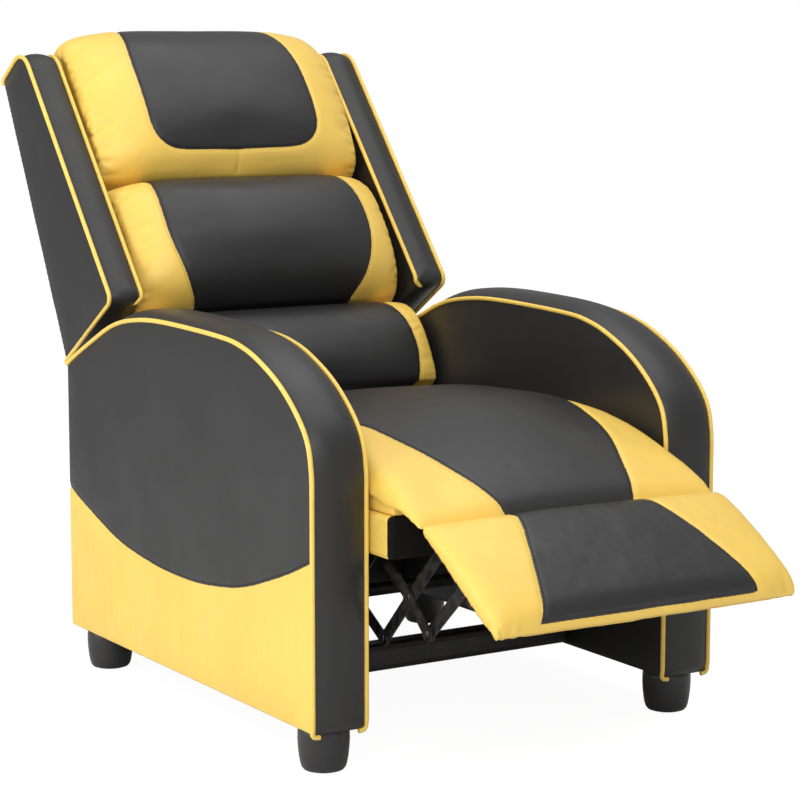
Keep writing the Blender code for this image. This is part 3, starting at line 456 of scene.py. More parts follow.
def cast(tree, places, direction):
    """Where rays from places in one direction first meet a surface; those that miss it are left out."""
    hits = [tree.ray_cast(place, direction)[0] for place in places]
    return [hit for hit in hits if hit is not None]


def snap(made, shape):
    """Lays a remeshed surface back on its sharp shape."""
    places = [shape.find_nearest(Vector(place))[0] for place in coordinates(made.data)]
    set_coordinates(made.data, places)


def swell(made, held, cap, pressure=4.0, calm=14):
    """Lets cloth swell under pressure where it isn't held, then evens and caps how far its points move."""
    start = coordinates(made.data)
    group = made.vertex_groups.new(name="held")
    for index in np.nonzero(held > 0)[0]:
        group.add([int(index)], float(held[index]), "REPLACE")
    cloth = made.modifiers.new("cloth", "CLOTH")
    for name, value in CLOTH_SETTINGS.items():
        setattr(cloth.settings, name, value)
    cloth.settings.uniform_pressure_force = pressure
    cloth.settings.effector_weights.gravity = 0
    cloth.settings.vertex_group_mass = group.name
    cloth.collision_settings.use_collision = False
    cloth.point_cache.frame_start = 1
    cloth.point_cache.frame_end = CLOTH_FRAMES
    scene = bpy.context.scene
    for step in range(1, CLOTH_FRAMES + 1):
        scene.frame_set(step)
    baked(made)
    scene.frame_set(1)
    made.vertex_groups.clear()
    moved = evened(made.data, coordinates(made.data) - start, calm)
    length = np.linalg.norm(moved, axis=1)
    limit = cap * np.tanh(length / cap)
    set_coordinates(made.data, start + moved * (limit / np.maximum(length, 1e-9))[:, None])


def evened(mesh, moves, rounds):
    """Moves of a mesh's points, each averaged with its neighbours' for some rounds."""
    ends = np.zeros(len(mesh.edges) * 2, np.int32)
    mesh.edges.foreach_get("vertices", ends)
    first, second = ends.reshape(-1, 2).T
    count = 1 + np.bincount(ends, minlength=len(moves))
    for _ in range(rounds):
        total = moves.copy()
        np.add.at(total, first, moves[second])
        np.add.at(total, second, moves[first])
        moves = total / count[:, None]
    return moves


def dent(made, distance, depth, width):
    """Presses a seam into a surface where its distance is small."""
    push(made, -depth * np.exp(-(distance / width) ** 2))


def gather(made, path, depth, reach, spacing, seed):
    """Small folds that run away from a sewn edge, deepest about a reach from it, no two alike."""
    path = resample(path, FINE_STEP)
    tree = point_tree(path)
    places = coordinates(made.data)
    nearest = [tree.find(place) for place in places]
    index = np.array([found[1] for found in nearest])
    distance = np.array([found[2] for found in nearest])
    along = index * FINE_STEP + np.sum((places - path[index]) * directions(path)[index], axis=1)
    chance = np.random.default_rng(seed)
    deep = np.zeros(len(places))
    middle = 0.0
    while middle < len(path) * FINE_STEP:
        width = chance.uniform(1.8, 3.4) * MM * (1 + distance / (16 * MM))
        fold = np.exp(-((along - middle - chance.uniform(-0.5, 0.5) * distance) / width) ** 2)
        away = distance / (reach * chance.uniform(0.6, 1.3))
        deep += chance.uniform(0.35, 1) * fold * away * np.exp(1 - away)
        middle += spacing * chance.uniform(0.5, 1.6)
    push(made, -depth * deep)


def ripple(made, amount, scale, stretch, seed):
    """Soft uneven folds; amount is one height or one for each point."""
    shift = Vector((seed, seed * 2, seed * 3))
    places = coordinates(made.data) * scale * np.array(stretch)
    push(made, amount * np.array([noise.fractal(Vector(place) + shift, 0.6, 2.1, 3) for place in places]))


# Geometry Nodes


def feed(tree, socket, value):
    """Links an input to another node's output, or sets its value."""
    if isinstance(value, bpy.types.NodeSocket):
        tree.links.new(value, socket)
    elif socket.type == "RGBA":
        socket.default_value = (*value[:3], 1.0)
    else:
        socket.default_value = value


def add(tree, kind, options=None, **inputs):
    """A new node with its options set and its inputs fed by name, an underscore for each space."""
    node = tree.nodes.new(kind)
    for name, value in (options or {}).items():
        setattr(node, name, value)
    for name, value in inputs.items():
        feed(tree, node.inputs[name.replace("_", " ")], value)
    return node


def calculate(tree, operation, *values):
    """A math node on sockets and numbers; returns its output."""
    node = add(tree, "ShaderNodeMath", {"operation": operation})
    for socket, value in zip(node.inputs, values):
        feed(tree, socket, value)
    return node.outputs[0]


def node_group(build, kind, inputs, outputs):
    """A new node group named for its builder; returns it with its sockets inside."""
    group = bpy.data.node_groups.new(build.__name__, kind)
    for direction, sockets in (("INPUT", inputs), ("OUTPUT", outputs)):
        for label, number, value in sockets:
            socket = group.interface.new_socket(label, in_out=direction, socket_type=f"NodeSocket{number}")
            if value is not None:
                socket.default_value = value
    return group, group.nodes.new("NodeGroupInput").outputs, group.nodes.new("NodeGroupOutput").inputs


def built(build):
    """A node group, built once."""
    return bpy.data.node_groups.get(build.__name__) or build()


def geometry_group(build, *inputs):
    """A new geometry group with its named inputs and a material."""
    geometry, material = ("Geometry", "Geometry", None), ("Material", "Material", None)
    return node_group(build, "GeometryNodeTree", [geometry, *inputs, material], [geometry])


def finish_group(group, source, entry, leave):
    """Ends a geometry group in real geometry, smooth shading and a material."""
    for kind in ("GeometryNodeRealizeInstances", "GeometryNodeSetShadeSmooth", "GeometryNodeSetMaterial"):
        node = add(group, kind)
        feed(group, node.inputs[0], source)
        source = node.outputs[0]
    feed(group, node.inputs["Material"], entry["Material"])
    feed(group, leave[0], source)
    return group


def even_curve(group, entry, step):
    """The source's edges as a curve with points at an even step."""
    curve = add(group, "GeometryNodeMeshToCurve", Mesh=entry["Geometry"]).outputs[0]
    return add(group, "GeometryNodeResampleCurve", {"mode": "LENGTH"}, Curve=curve,
               Length=entry[step]).outputs[0]


def scatter(group, points, shape, axis, direction, entry, lengths):
    """Copies of a shape on points, one axis along a direction, as long each way as three inputs say."""
    turn = add(group, "FunctionNodeAlignRotationToVector", {"axis": axis}, Vector=direction)
    x, y, z = (entry[label] for label in lengths)
    size = add(group, "ShaderNodeCombineXYZ", X=x, Y=y, Z=z)
    return add(group, "GeometryNodeInstanceOnPoints", Points=points, Instance=shape.outputs["Mesh"],
               Rotation=turn.outputs[0], Scale=size.outputs[0]).outputs[0]


def piping():
    """A covered cord along a path, a little uneven as sewn piping is."""
    group, entry, leave = geometry_group(
        piping, ("Radius", "Float", BEAD), ("Step", "Float", 4 * MM), ("Sides", "Int", 14),
        ("Unevenness", "Float", 0.08))
    wobble = add(group, "ShaderNodeTexNoise", Scale=60)
    lift = calculate(group, "SUBTRACT", wobble.outputs["Fac"], 0.5)
    radius = add(group, "GeometryNodeSetCurveRadius", Curve=even_curve(group, entry, "Step"),
                 Radius=calculate(group, "MULTIPLY_ADD", lift, entry["Unevenness"], 1.0))
    circle = add(group, "GeometryNodeCurvePrimitiveCircle", Resolution=entry["Sides"], Radius=entry["Radius"])
    tube = add(group, "GeometryNodeCurveToMesh", Curve=radius.outputs[0], Profile_Curve=circle.outputs[0],
               Fill_Caps=True)
    if "Scale" in tube.inputs:
        feed(group, tube.inputs["Scale"], add(group, "GeometryNodeInputRadius").outputs[0])
    return finish_group(group, tube.outputs[0], entry, leave)


def stitching():
    """Stitches along a path, each lying along it and sunk to the surface that the path follows."""
    group, entry, leave = geometry_group(
        stitching, ("Pitch", "Float", 4.2 * MM), ("Length", "Float", 3 * MM),
        ("Thickness", "Float", 0.9 * MM))
    stitch = add(group, "GeometryNodeMeshUVSphere", Segments=6, Rings=4, Radius=0.5)
    tangent = add(group, "GeometryNodeInputTangent").outputs[0]
    source = scatter(group, even_curve(group, entry, "Pitch"), stitch, "X", tangent, entry,
                     ("Length", "Thickness", "Thickness"))
    return finish_group(group, source, entry, leave)


def domes():
    """Domed heads of rivets or upholstery staples, on points that face a direction."""
    group, entry, leave = geometry_group(
        domes, ("Width", "Float", 9 * MM), ("Depth", "Float", 9 * MM), ("Height", "Float", 3 * MM),
        ("Sides", "Int", 14))
    points = add(group, "GeometryNodeMeshToPoints", Mesh=entry["Geometry"]).outputs[0]
    dome = add(group, "GeometryNodeMeshUVSphere", Segments=entry["Sides"], Rings=6, Radius=0.5)
    facing = add(group, "GeometryNodeInputNamedAttribute", {"data_type": "FLOAT_VECTOR"}, Name="facing")
    source = scatter(group, points, dome, "Z", facing.outputs["Attribute"], entry,
                     ("Width", "Depth", "Height"))
    return finish_group(group, source, entry, leave)


def grown(name, build, source, material, **values):
    """A plain mesh object that a geometry group grows from a source mesh."""
    made = new_object(name, source)
    modifier = made.modifiers.new("grow", "NODES")
    modifier.node_group = built(build)
    sockets = {item.name: item.identifier for item in modifier.node_group.interface.items_tree
               if item.item_type == "SOCKET" and item.in_out == "INPUT"}
    for label, value in {"Material": finish_of(material), **values}.items():
        modifier[sockets[label]] = value
    baked(made)
    for layer in [item for item in made.data.attributes if item.name in ("facing", "normal", "radius")]:
        made.data.attributes.remove(layer)
    return made


def path_mesh(paths):
    """Open paths as one mesh of edges."""
    mesh = bpy.data.meshes.new("paths")
    places, edges = [], []
    for path in paths:
        first = len(places)
        places.extend([tuple(place) for place in path])
        edges.extend((first + i, first + i + 1) for i in range(len(path) - 1))
    mesh.from_pydata(places, edges, [])
    return mesh


def point_mesh(places, facings):
    """Loose points that each face a direction."""
    mesh = bpy.data.meshes.new("points")
    mesh.from_pydata([tuple(place) for place in places], [], [])
    layer = mesh.attributes.new("facing", "FLOAT_VECTOR", "POINT")
    layer.data.foreach_set("vector", np.asarray(facings, np.float32).ravel())
    return mesh


def lay_on(made, path, inset=0.0, lift=0.0):
    """Moves a path onto a piece's surface, or beside it by an inset to its left, seen from outside."""
    tree = surface(made)
    path = [Vector(place) for place in path]
    result = []
    for before, place, after in zip([path[0], *path], path, [*path[1:], path[-1]]):
        found, normal, _, _ = tree.find_nearest(place)
        if inset:
            found, normal, _, _ = tree.find_nearest(found + normal.cross(after - before).normalized() * inset)
        result.append(found + normal * lift)
    return result


# Shader node groups


def shader_group(build, inputs, outputs):
    """A new shader group that takes a vector and numbers, and gives numbers."""
    return node_group(build, "ShaderNodeTree", [("Vector", "Vector", None), *inputs],
                      [(label, "Float", None) for label in outputs])


def ranged(tree, value, low, high, to_low=0.0, to_high=1.0):
    """A clamped, soft change of range; returns its output."""
    return add(tree, "ShaderNodeMapRange", {"interpolation_type": "SMOOTHSTEP"}, Value=value, From_Min=low,
               From_Max=high, To_Min=to_low, To_Max=to_high).outputs[0]


def noise_of(tree, vector, scale, detail, stretch=None):
    """A noise texture, stretched or not; returns its factor."""
    if stretch:
        vector = add(tree, "ShaderNodeMapping", Vector=vector, Scale=stretch).outputs[0]
    return add(tree, "ShaderNodeTexNoise", Vector=vector, Scale=scale, Detail=detail).outputs["Fac"]


def leather_grain():
    """Grain of leather-look cloth: fine cells, pores between them and broad soft creases."""
    group, entry, leave = shader_group(
        leather_grain, [("Scale", "Float", 620.0), ("Creases", "Float", 0.5)], ("Height", "Mottle"))
    vector, scale = entry["Vector"], entry["Scale"]
    cells = add(group, "ShaderNodeTexVoronoi", {"feature": "SMOOTH_F1"}, Vector=vector, Scale=scale,
                Smoothness=0.5)
    pores = noise_of(group, vector, scale=calculate(group, "MULTIPLY", scale, 2.4), detail=2)
    folds = noise_of(group, vector, scale=46.0, detail=3, stretch=(1.0, 0.45, 1.0))
    cell = calculate(group, "MULTIPLY", cells.outputs["Distance"], -0.55)
    height = calculate(group, "MULTIPLY_ADD", pores, 0.3, cell)
    feed(group, leave["Height"], calculate(group, "MULTIPLY_ADD", folds, entry["Creases"], height))
    patches = noise_of(group, vector, scale=9.0, detail=4)
    feed(group, leave["Mottle"], ranged(group, patches, 0.3, 0.7))
    return group


def edge_wear():
    """Where edges stand out and rub: a mask from how sharply the surface turns."""
    group, entry, leave = shader_group(edge_wear, [("Amount", "Float", 0.5)], ("Mask",))
    edge = ranged(group, add(group, "ShaderNodeNewGeometry").outputs["Pointiness"], 0.505, 0.56)
    broken = ranged(group, noise_of(group, entry["Vector"], scale=90.0, detail=3), 0.35, 0.65)
    both = calculate(group, "MULTIPLY", edge, broken)
    feed(group, leave["Mask"], calculate(group, "MULTIPLY", both, entry["Amount"]))
    return group


def weave():
    """Plain weave: a height and a mask of the threads that lie on top."""
    group, entry, leave = shader_group(weave, [("Thread", "Float", 1.2 * MM)], ("Height", "Mask"))
    parts = add(group, "ShaderNodeSeparateXYZ", Vector=entry["Vector"])
    waves = []
    for axis in ("X", "Y"):
        turn = calculate(group, "DIVIDE", parts.outputs[axis], entry["Thread"])
        waves.append(calculate(group, "SINE", calculate(group, "MULTIPLY", turn, pi)))
    over = calculate(group, "MULTIPLY", *waves)
    feed(group, leave["Height"], over)
    feed(group, leave["Mask"], ranged(group, over, -0.4, 0.4))
    return group


def object_place(tree):
    """Object coordinates."""
    return add(tree, "ShaderNodeTexCoord").outputs["Object"]


def placed(tree, build, **values):
    """A shader group in a material with its own values, on object coordinates; returns its outputs."""
    node = add(tree, "ShaderNodeGroup", {"node_tree": built(build)})
    for label, value in {"Vector": object_place(tree), **values}.items():
        feed(tree, node.inputs[label], value)
    return node.outputs


def blank_material(name):
    """A material with its tree and its Principled shader."""
    made = bpy.data.materials.new(name)
    made.use_nodes = True
    return made, made.node_tree, made.node_tree.nodes["Principled BSDF"]


def mixed(tree, factor, first, second, mode="MIX"):
    """A mix of two colours, sockets or values; returns its output."""
    node = add(tree, "ShaderNodeMix", {"data_type": "RGBA", "blend_type": mode})
    for index, value in ((0, factor), (6, first), (7, second)):
        feed(tree, node.inputs[index], value)
    return node.outputs[2]


def coat(tree, shader, colour, roughness, height=None, depth=0.0, strength=1.0, **fixed):
    """Feeds a shader its colour, its roughness, a bump and values for other inputs."""
    inputs = {"Base Color": colour, "Roughness": roughness, **fixed}
    if height:
        bump = add(tree, "ShaderNodeBump", Height=height, Distance=depth, Strength=strength)
        inputs["Normal"] = bump.outputs[0]
    for name, value in inputs.items():
        feed(tree, shader.inputs[name.replace("_", " ")], value)


def cloth_material(name, colour, panel=None):
    """Leather-look cloth, with a panel of another colour where the point attribute panel is over zero, and
    painted shade along its seams and stitch lines.
    """
    made, tree, shader = blank_material(name)
    colours = bpy.context.scene.recliner_colours
    grain = placed(tree, leather_grain, Scale=620.0, Creases=0.45)
    wear = placed(tree, edge_wear, Amount=0.5)
    height = grain["Height"]
    if panel:
        inside, seam = (add(tree, "ShaderNodeAttribute", {"attribute_name": label}).outputs["Fac"]
                        for label in ("panel", "seam"))
        colour = mixed(tree, ranged(tree, inside, -0.2 * MM, 0.2 * MM), colour, panel)
        # Painted shade: the colour is darkened in each seam's groove and along the stitch line inside the
        # panel
        seam_shadow = ranged(tree, seam, 0.2 * MM, 1.2 * MM, 0.5, 1.0)
        beside = calculate(tree, "ABSOLUTE", calculate(tree, "SUBTRACT", inside, STITCH_INSET))
        shade = calculate(tree, "MULTIPLY", seam_shadow, ranged(tree, beside, 0.3 * MM, 1.0 * MM, 0.5, 1.0))
        painted_seam_shadow = add(tree, "ShaderNodeCombineColor", Red=shade, Green=shade, Blue=shade).outputs[0]
        colour = mixed(tree, 1.0, colour, painted_seam_shadow, "MULTIPLY")
        height = calculate(tree, "MULTIPLY_ADD", shade, 2.5, height)
    tone = mixed(tree, grain["Mottle"], colours.shade, (1.0, 1.0, 1.0))
    colour = mixed(tree, 1.0, colour, tone, "MULTIPLY")
    colour = mixed(tree, wear["Mask"], colour, colours.worn, "SOFT_LIGHT")
    coat(tree, shader, colour, ranged(tree, grain["Mottle"], 0.0, 1.0, 0.47, 0.4), height,
         depth=0.35 * MM, strength=0.55)
    return made


def painted_material(name, colour, rubbed, wear, scale, creases, rough, depth, strength, **fixed):
    """Paint or moulded plastic with a fine texture, rubbed lighter on its edges."""
    made, tree, shader = blank_material(name)
    mask = placed(tree, edge_wear, Amount=wear)["Mask"]
    grain = placed(tree, leather_grain, Scale=scale, Creases=creases)
    coat(tree, shader, mixed(tree, mask, colour, rubbed), ranged(tree, grain["Mottle"], 0.0, 1.0, *rough),
         grain["Height"], depth, strength, **fixed)
    return made


def woven_material(name, low, high, thread, rough, depth, strength, **fixed):
    """Strap or lining cloth in plain weave, with a tone between its threads and one on them."""
    made, tree, shader = blank_material(name)
    woven = placed(tree, weave, Thread=thread)
    colour = mixed(tree, woven["Mask"], low, high)
    coat(tree, shader, colour, rough, woven["Height"], depth, strength, **fixed)
    return made


def rivet_material(name):
    """Zinc-plated heads, dulled by black paint."""
    made, tree, shader = blank_material(name)
    mottle = placed(tree, leather_grain, Scale=900.0, Creases=0.2)["Mottle"]
    coat(tree, shader, mixed(tree, mottle, (0.02, 0.02, 0.021), (0.07, 0.07, 0.072)), 0.34, Metallic=0.85)
    return made


def wood_material(name, colour):
    """Plain softwood: long grain with darker rings."""
    made, tree, shader = blank_material(name)
    place = object_place(tree)
    grain = noise_of(tree, place, scale=70.0, detail=5, stretch=(1.0, 0.08, 1.0))
    rings = noise_of(tree, place, scale=9.0, detail=2, stretch=(1.0, 0.15, 1.0))
    base = mixed(tree, ranged(tree, grain, 0.35, 0.65), colour, (0.27, 0.15, 0.065))
    base = mixed(tree, ranged(tree, rings, 0.45, 0.7), base, (0.52, 0.35, 0.19))
    coat(tree, shader, base, ranged(tree, grain, 0.3, 0.7, 0.62, 0.75), grain, depth=0.4 * MM, strength=0.4)
    return made


def thread_material(name, colour):
    """Sewing thread with a little twist."""
    made, tree, shader = blank_material(name)
    twist = noise_of(tree, object_place(tree), scale=2200.0, detail=1)
    dark = tuple(channel * 0.7 for channel in colour)
    coat(tree, shader, mixed(tree, twist, dark, colour), 0.6, twist, depth=0.2 * MM, strength=0.5)
    return made


def finish_of(name):
    """The chair's materials, each made once."""
    found = bpy.data.materials.get(name)
    if found:
        return found
    colours = bpy.context.scene.recliner_colours
    makers = {
        "black_leather": lambda: cloth_material(name, colours.black_cloth),
        "yellow_leather": lambda: cloth_material(name, colours.yellow_cloth),
        "panelled_leather": lambda: cloth_material(name, colours.yellow_cloth, colours.black_cloth),
        "moulded_plastic": lambda: painted_material(
            name, colours.plastic, rubbed=(0.09, 0.09, 0.092), wear=0.35, scale=1500.0, creases=0.15,
            rough=(0.42, 0.32), depth=0.2 * MM, strength=0.35),
        "painted_steel": lambda: painted_material(
            name, colours.steel, rubbed=(0.07, 0.068, 0.066), wear=0.3, scale=420.0, creases=0.2,
            rough=(0.36, 0.24), depth=0.15 * MM, strength=0.25, Specular_IOR_Level=0.3),
        "rivet_steel": lambda: rivet_material(name),
        "softwood": lambda: wood_material(name, colours.wood),
        "woven_strap": lambda: woven_material(
            name, (0.02, 0.02, 0.02), colours.webbing, thread=1.4 * MM, rough=0.85, depth=0.3 * MM,
            strength=0.6),
        # Lining cloth whose near-black colour is partly painted shade, for the dark under the seat flap
        "lining_dark_as_shade": lambda: woven_material(
            name, (0.003, 0.003, 0.003), colours.lining, thread=0.6 * MM, rough=0.9, depth=0.15 * MM,
            strength=0.5, Specular_IOR_Level=0.15),
        "black_thread": lambda: thread_material(name, colours.black_thread),
        "yellow_thread": lambda: thread_material(name, colours.yellow_thread),
    }
    return makers[name]()


def dress(made, material, body, slot, *nodes):
    """Gives a piece its finish, hangs it on its body and lets it stand for CAD nodes."""
    made.data.materials.clear()
    made.data.materials.append(finish_of(material))
    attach(made, body)
    if nodes:
        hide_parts(*nodes)
    return made


def sew(name, made, paths, body, thread, inset=STITCH_INSET):
    """Topstitching to the left of seam paths on a piece; without a body the caller hangs it."""
    sizes = bpy.context.scene.recliner_sizes
    laid = [lay_on(made, resample(path, SEAM_STEP), inset, STITCH_LIFT) for path in paths]
    stitches = grown(name, stitching, path_mesh(laid), thread, Pitch=sizes.stitch_pitch,
                     Length=sizes.stitch_length, Thickness=sizes.stitch_thickness)
    if body:
        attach(stitches, body)
    return stitches


def pipe(name, paths, body, *nodes):
    """Yellow piping along paths, in place of the CAD beads."""
    sizes = bpy.context.scene.recliner_sizes
    made = grown(name, piping, path_mesh(paths), "yellow_leather", Radius=sizes.piping_radius)
    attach(made, body)
    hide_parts(*nodes)


def slab(name, edge, rear, x_from, x_to, crown, fullness=2):
    """An upholstered slab; its edge path bulges between its side faces by one crown or many."""
    crown = np.broadcast_to(crown, len(edge))[:, None]
    rings = []
    for share in np.linspace(-1, 1, 13):
        x = (x_from + x_to) / 2 + share * (x_to - x_from) / 2
        path = offset(edge, -crown * (1 - abs(share) ** fullness))
        path[-1] = edge[-1]
        rings.append([(x, y, z) for y, z in [*path, *rear]])
    return loft(name, rings)


def puff(made, outline, x, height, reach):
    """Moves a slab's side face in X, less near its outline; returns how far inside it each point lies."""
    places = coordinates(made.data)
    distance = distance_to_path(places[:, 1:], outline)
    inside = np.where(np.abs(places[:, 0] - x) < ON_FACE, distance, 0)
    places[:, 0] += height * (1 - np.exp(-(inside / reach) ** 1.5))
    set_coordinates(made.data, places)
    return inside


def arm_curve(shares):
    """A smooth line on the arm's side from shares of its depth and height."""
    return smooth([(ARM_FRONT + y * (ARM_REAR - ARM_FRONT), ARM_BOTTOM + z * (ARM_TOP - ARM_BOTTOM))
                   for y, z in shares], 6)


class ReclinerSizes(bpy.types.PropertyGroup):
    """Sizes of the upholstery's details."""

    piping_radius: bpy.props.FloatProperty(
        name="Piping radius", description="Radius of the covered cord", default=BEAD, unit="LENGTH")
    stitch_pitch: bpy.props.FloatProperty(
        name="Stitch pitch", description="Distance from stitch to stitch", default=4.2 * MM, unit="LENGTH")
    stitch_length: bpy.props.FloatProperty(
        name="Stitch length", description="Length of one stitch", default=3.1 * MM, unit="LENGTH")
    stitch_thickness: bpy.props.FloatProperty(
        name="Thread thickness", description="Thickness of the thread", default=0.8 * MM, unit="LENGTH")
    seam_depth: bpy.props.FloatProperty(
        name="Seam depth", description="How far a seam lies below the cloth", default=1.8 * MM, unit="LENGTH")
    seam_width: bpy.props.FloatProperty(
        name="Seam width", description="How far a seam draws the cloth in", default=4 * MM, unit="LENGTH")
    voxel: bpy.props.FloatProperty(
        name="Cloth mesh", description="Mesh size of the padded pieces", default=6 * MM, unit="LENGTH")
    arm_puff: bpy.props.FloatProperty(
        name="Arm puff", description="How full the arms' sides are", default=4 * MM, unit="LENGTH")


class ReclinerColours(bpy.types.PropertyGroup):
    """Colours of the chair's finishes."""

    black_cloth: bpy.props.FloatVectorProperty(
        name="Black cloth", description="Colour of the black cloth", default=(0.021, 0.0205, 0.0205),
        subtype="COLOR")
    yellow_cloth: bpy.props.FloatVectorProperty(
        name="Yellow cloth", description="Colour of the yellow cloth", default=(0.93, 0.62, 0.118),
        subtype="COLOR")
    black_thread: bpy.props.FloatVectorProperty(
        name="Black thread", description="Thread on black cloth", default=(0.012, 0.012, 0.012),
        subtype="COLOR")
    yellow_thread: bpy.props.FloatVectorProperty(
        name="Yellow thread", description="Thread on yellow cloth", default=(0.4, 0.23, 0.04),
        subtype="COLOR")
    shade: bpy.props.FloatVectorProperty(
        name="Cloth shade", description="How much darker the cloth is in patches", default=(0.93, 0.93, 0.93),
        subtype="COLOR")
    worn: bpy.props.FloatVectorProperty(
        name="Worn edge", description="Tone of rubbed edges", default=(0.75, 0.75, 0.75), subtype="COLOR")
    plastic: bpy.props.FloatVectorProperty(
        name="Plastic", description="Colour of the feet", default=(0.022, 0.021, 0.022), subtype="COLOR")
    steel: bpy.props.FloatVectorProperty(
        name="Steel", description="Colour of the painted steel", default=(0.006, 0.006, 0.0065),
        subtype="COLOR")
    wood: bpy.props.FloatVectorProperty(
        name="Wood", description="Colour of the frame timber", default=(0.42, 0.26, 0.13), subtype="COLOR")
    # The lining's near-black colour is partly painted shade: it stands for the shadow under the seat flap
    lining: bpy.props.FloatVectorProperty(
        name="Lining", description="Colour of the lining cloth", default=(0.009, 0.009, 0.009),
        subtype="COLOR")
    webbing: bpy.props.FloatVectorProperty(
        name="Webbing", description="Colour of the straps", default=(0.055, 0.055, 0.055),
        subtype="COLOR")


class ReclinerStudio(bpy.types.PropertyGroup):
    """The studio round the chair."""

    focal_length: bpy.props.FloatProperty(
        name="Focal length", description="Focal length on a 36 mm wide sensor, in millimetres",
        default=114.07)
    camera_place: bpy.props.FloatVectorProperty(
        name="Camera place", description="Where the camera stands",
        default=(-1.932, -2.791 + ARM_FRONT, 0.971), subtype="TRANSLATION")
    camera_turn: bpy.props.FloatProperty(
        name="Camera turn", description="Angle of the view round the chair", default=radians(-31.914),
        subtype="ANGLE")
    camera_pitch: bpy.props.FloatProperty(
        name="Camera pitch", description="Angle at which the camera looks down", default=radians(8.252),
        subtype="ANGLE")
    world_level: bpy.props.FloatProperty(
        name="World level", description="Strength of the room's even light", default=0.43)
    key_power: bpy.props.FloatProperty(
        name="Key light", description="Power of the large light above the left front", default=49.0,
        unit="POWER")
    top_power: bpy.props.FloatProperty(
        name="Top light", description="Power of the light overhead", default=34.0, unit="POWER")
    side_power: bpy.props.FloatProperty(
        name="Side light", description="Power of the low light on the left", default=43.0, unit="POWER")


class RECLINER_OT_arms(bpy.types.Operator):
    """Arms with their yellow lower panel, topstitching and piping"""

    bl_idname = "recliner.arms"
    bl_label = "Dress the arms"

    def execute(self, context):
        sizes = context.scene.recliner_sizes
        top = arm_curve(ARM_TOP_SHARES)
        edge = np.array([*top, (ARM_FRONT, ARM_BOTTOM)])
        edge = resample(edge, 12 * MM)
        rear = [(ARM_REAR, ARM_BOTTOM), (ARM_REAR, (ARM_BOTTOM + top[0][1]) / 2)]
        depth = (edge[:, 0] - ARM_FRONT) / (ARM_REAR - ARM_FRONT)
        rise = np.interp(depth, ARM_TOP_CROWN_SHARES, (0, 1, 1, 0))
        crown = ARM_CROWN + ARM_TOP_CROWN * np.sin(pi / 2 * rise) ** 2
        outline = [*edge, *rear, edge[0]]
        seam = arm_curve(PANEL_SEAM_SHARES)
        for name, side in SIDES:
            inner, outer = side * ARM_INNER_X, side * ARM_OUTER_X
            arm = slab(f"{name}_arm_cover", edge, rear, inner, outer, crown, ARM_FULLNESS)
            shape = surface(arm)
            even_quads(arm, sizes.voxel * 0.8)
            snap(arm, shape)
            puff(arm, outline, inner, -side * sizes.arm_puff / 4, ARM_PUFF_REACH)
            inside = puff(arm, outline, outer, side * sizes.arm_puff, ARM_PUFF_REACH)
            places = coordinates(arm.data)
            above = places[:, 2] - np.interp(places[:, 1], seam[:, 0], seam[:, 1])
            distance = distance_to_path(places[:, 1:], seam)
            on_side = side * places[:, 0] > ARM_OUTER_X - ON_FACE
            set_attribute(arm.data, "panel", np.where(on_side, np.sign(above) * distance, NO_SEAM))
            set_attribute(arm.data, "seam", np.where(on_side, distance, NO_SEAM))
            dent(arm, np.where(on_side, distance, NO_SEAM), sizes.seam_depth, sizes.seam_width)
            low = ramp(distance - 4 * MM, 50 * MM) * (above < 0)
            free = ramp(inside, 30 * MM)
            ripple(arm, 0.5 * MM * free, scale=6.0, stretch=(1, 1, 0.6), seed=3.1 + side)
            ripple(arm, 2.4 * MM * free * low, scale=9.0, stretch=(1, 2.4, 0.35), seed=8.3 + side)
            dress(arm, "panelled_leather", "base", "black_cloth", f"{name}_arm", f"{name}_arm_panel")
            path = [(outer, y, z) for y, z in seam[::side]]
            sew(f"{name}_arm_stitches", arm, [path], "base", "black_thread")
            beads = []
            for x, turn in ((outer + side * BEAD_OUT, -side), (inner - side * BEAD_OUT, side)):
                tucked = [(x + turn * into * MM, ARM_FRONT + 1 * MM, ARM_BOTTOM + up * MM)
                          for into, up in ((0, 2), (3, -1.5), (11, -2.5))]
                beads.append([*[(x, y, z) for y, z in offset(edge, -BEAD_OUT)[:-1]], *tucked])
            pipe(f"{name}_arm_piping", beads, "base", f"{name}_arm_outer_piping",
                 f"{name}_arm_inner_piping")
        return {"FINISHED"}


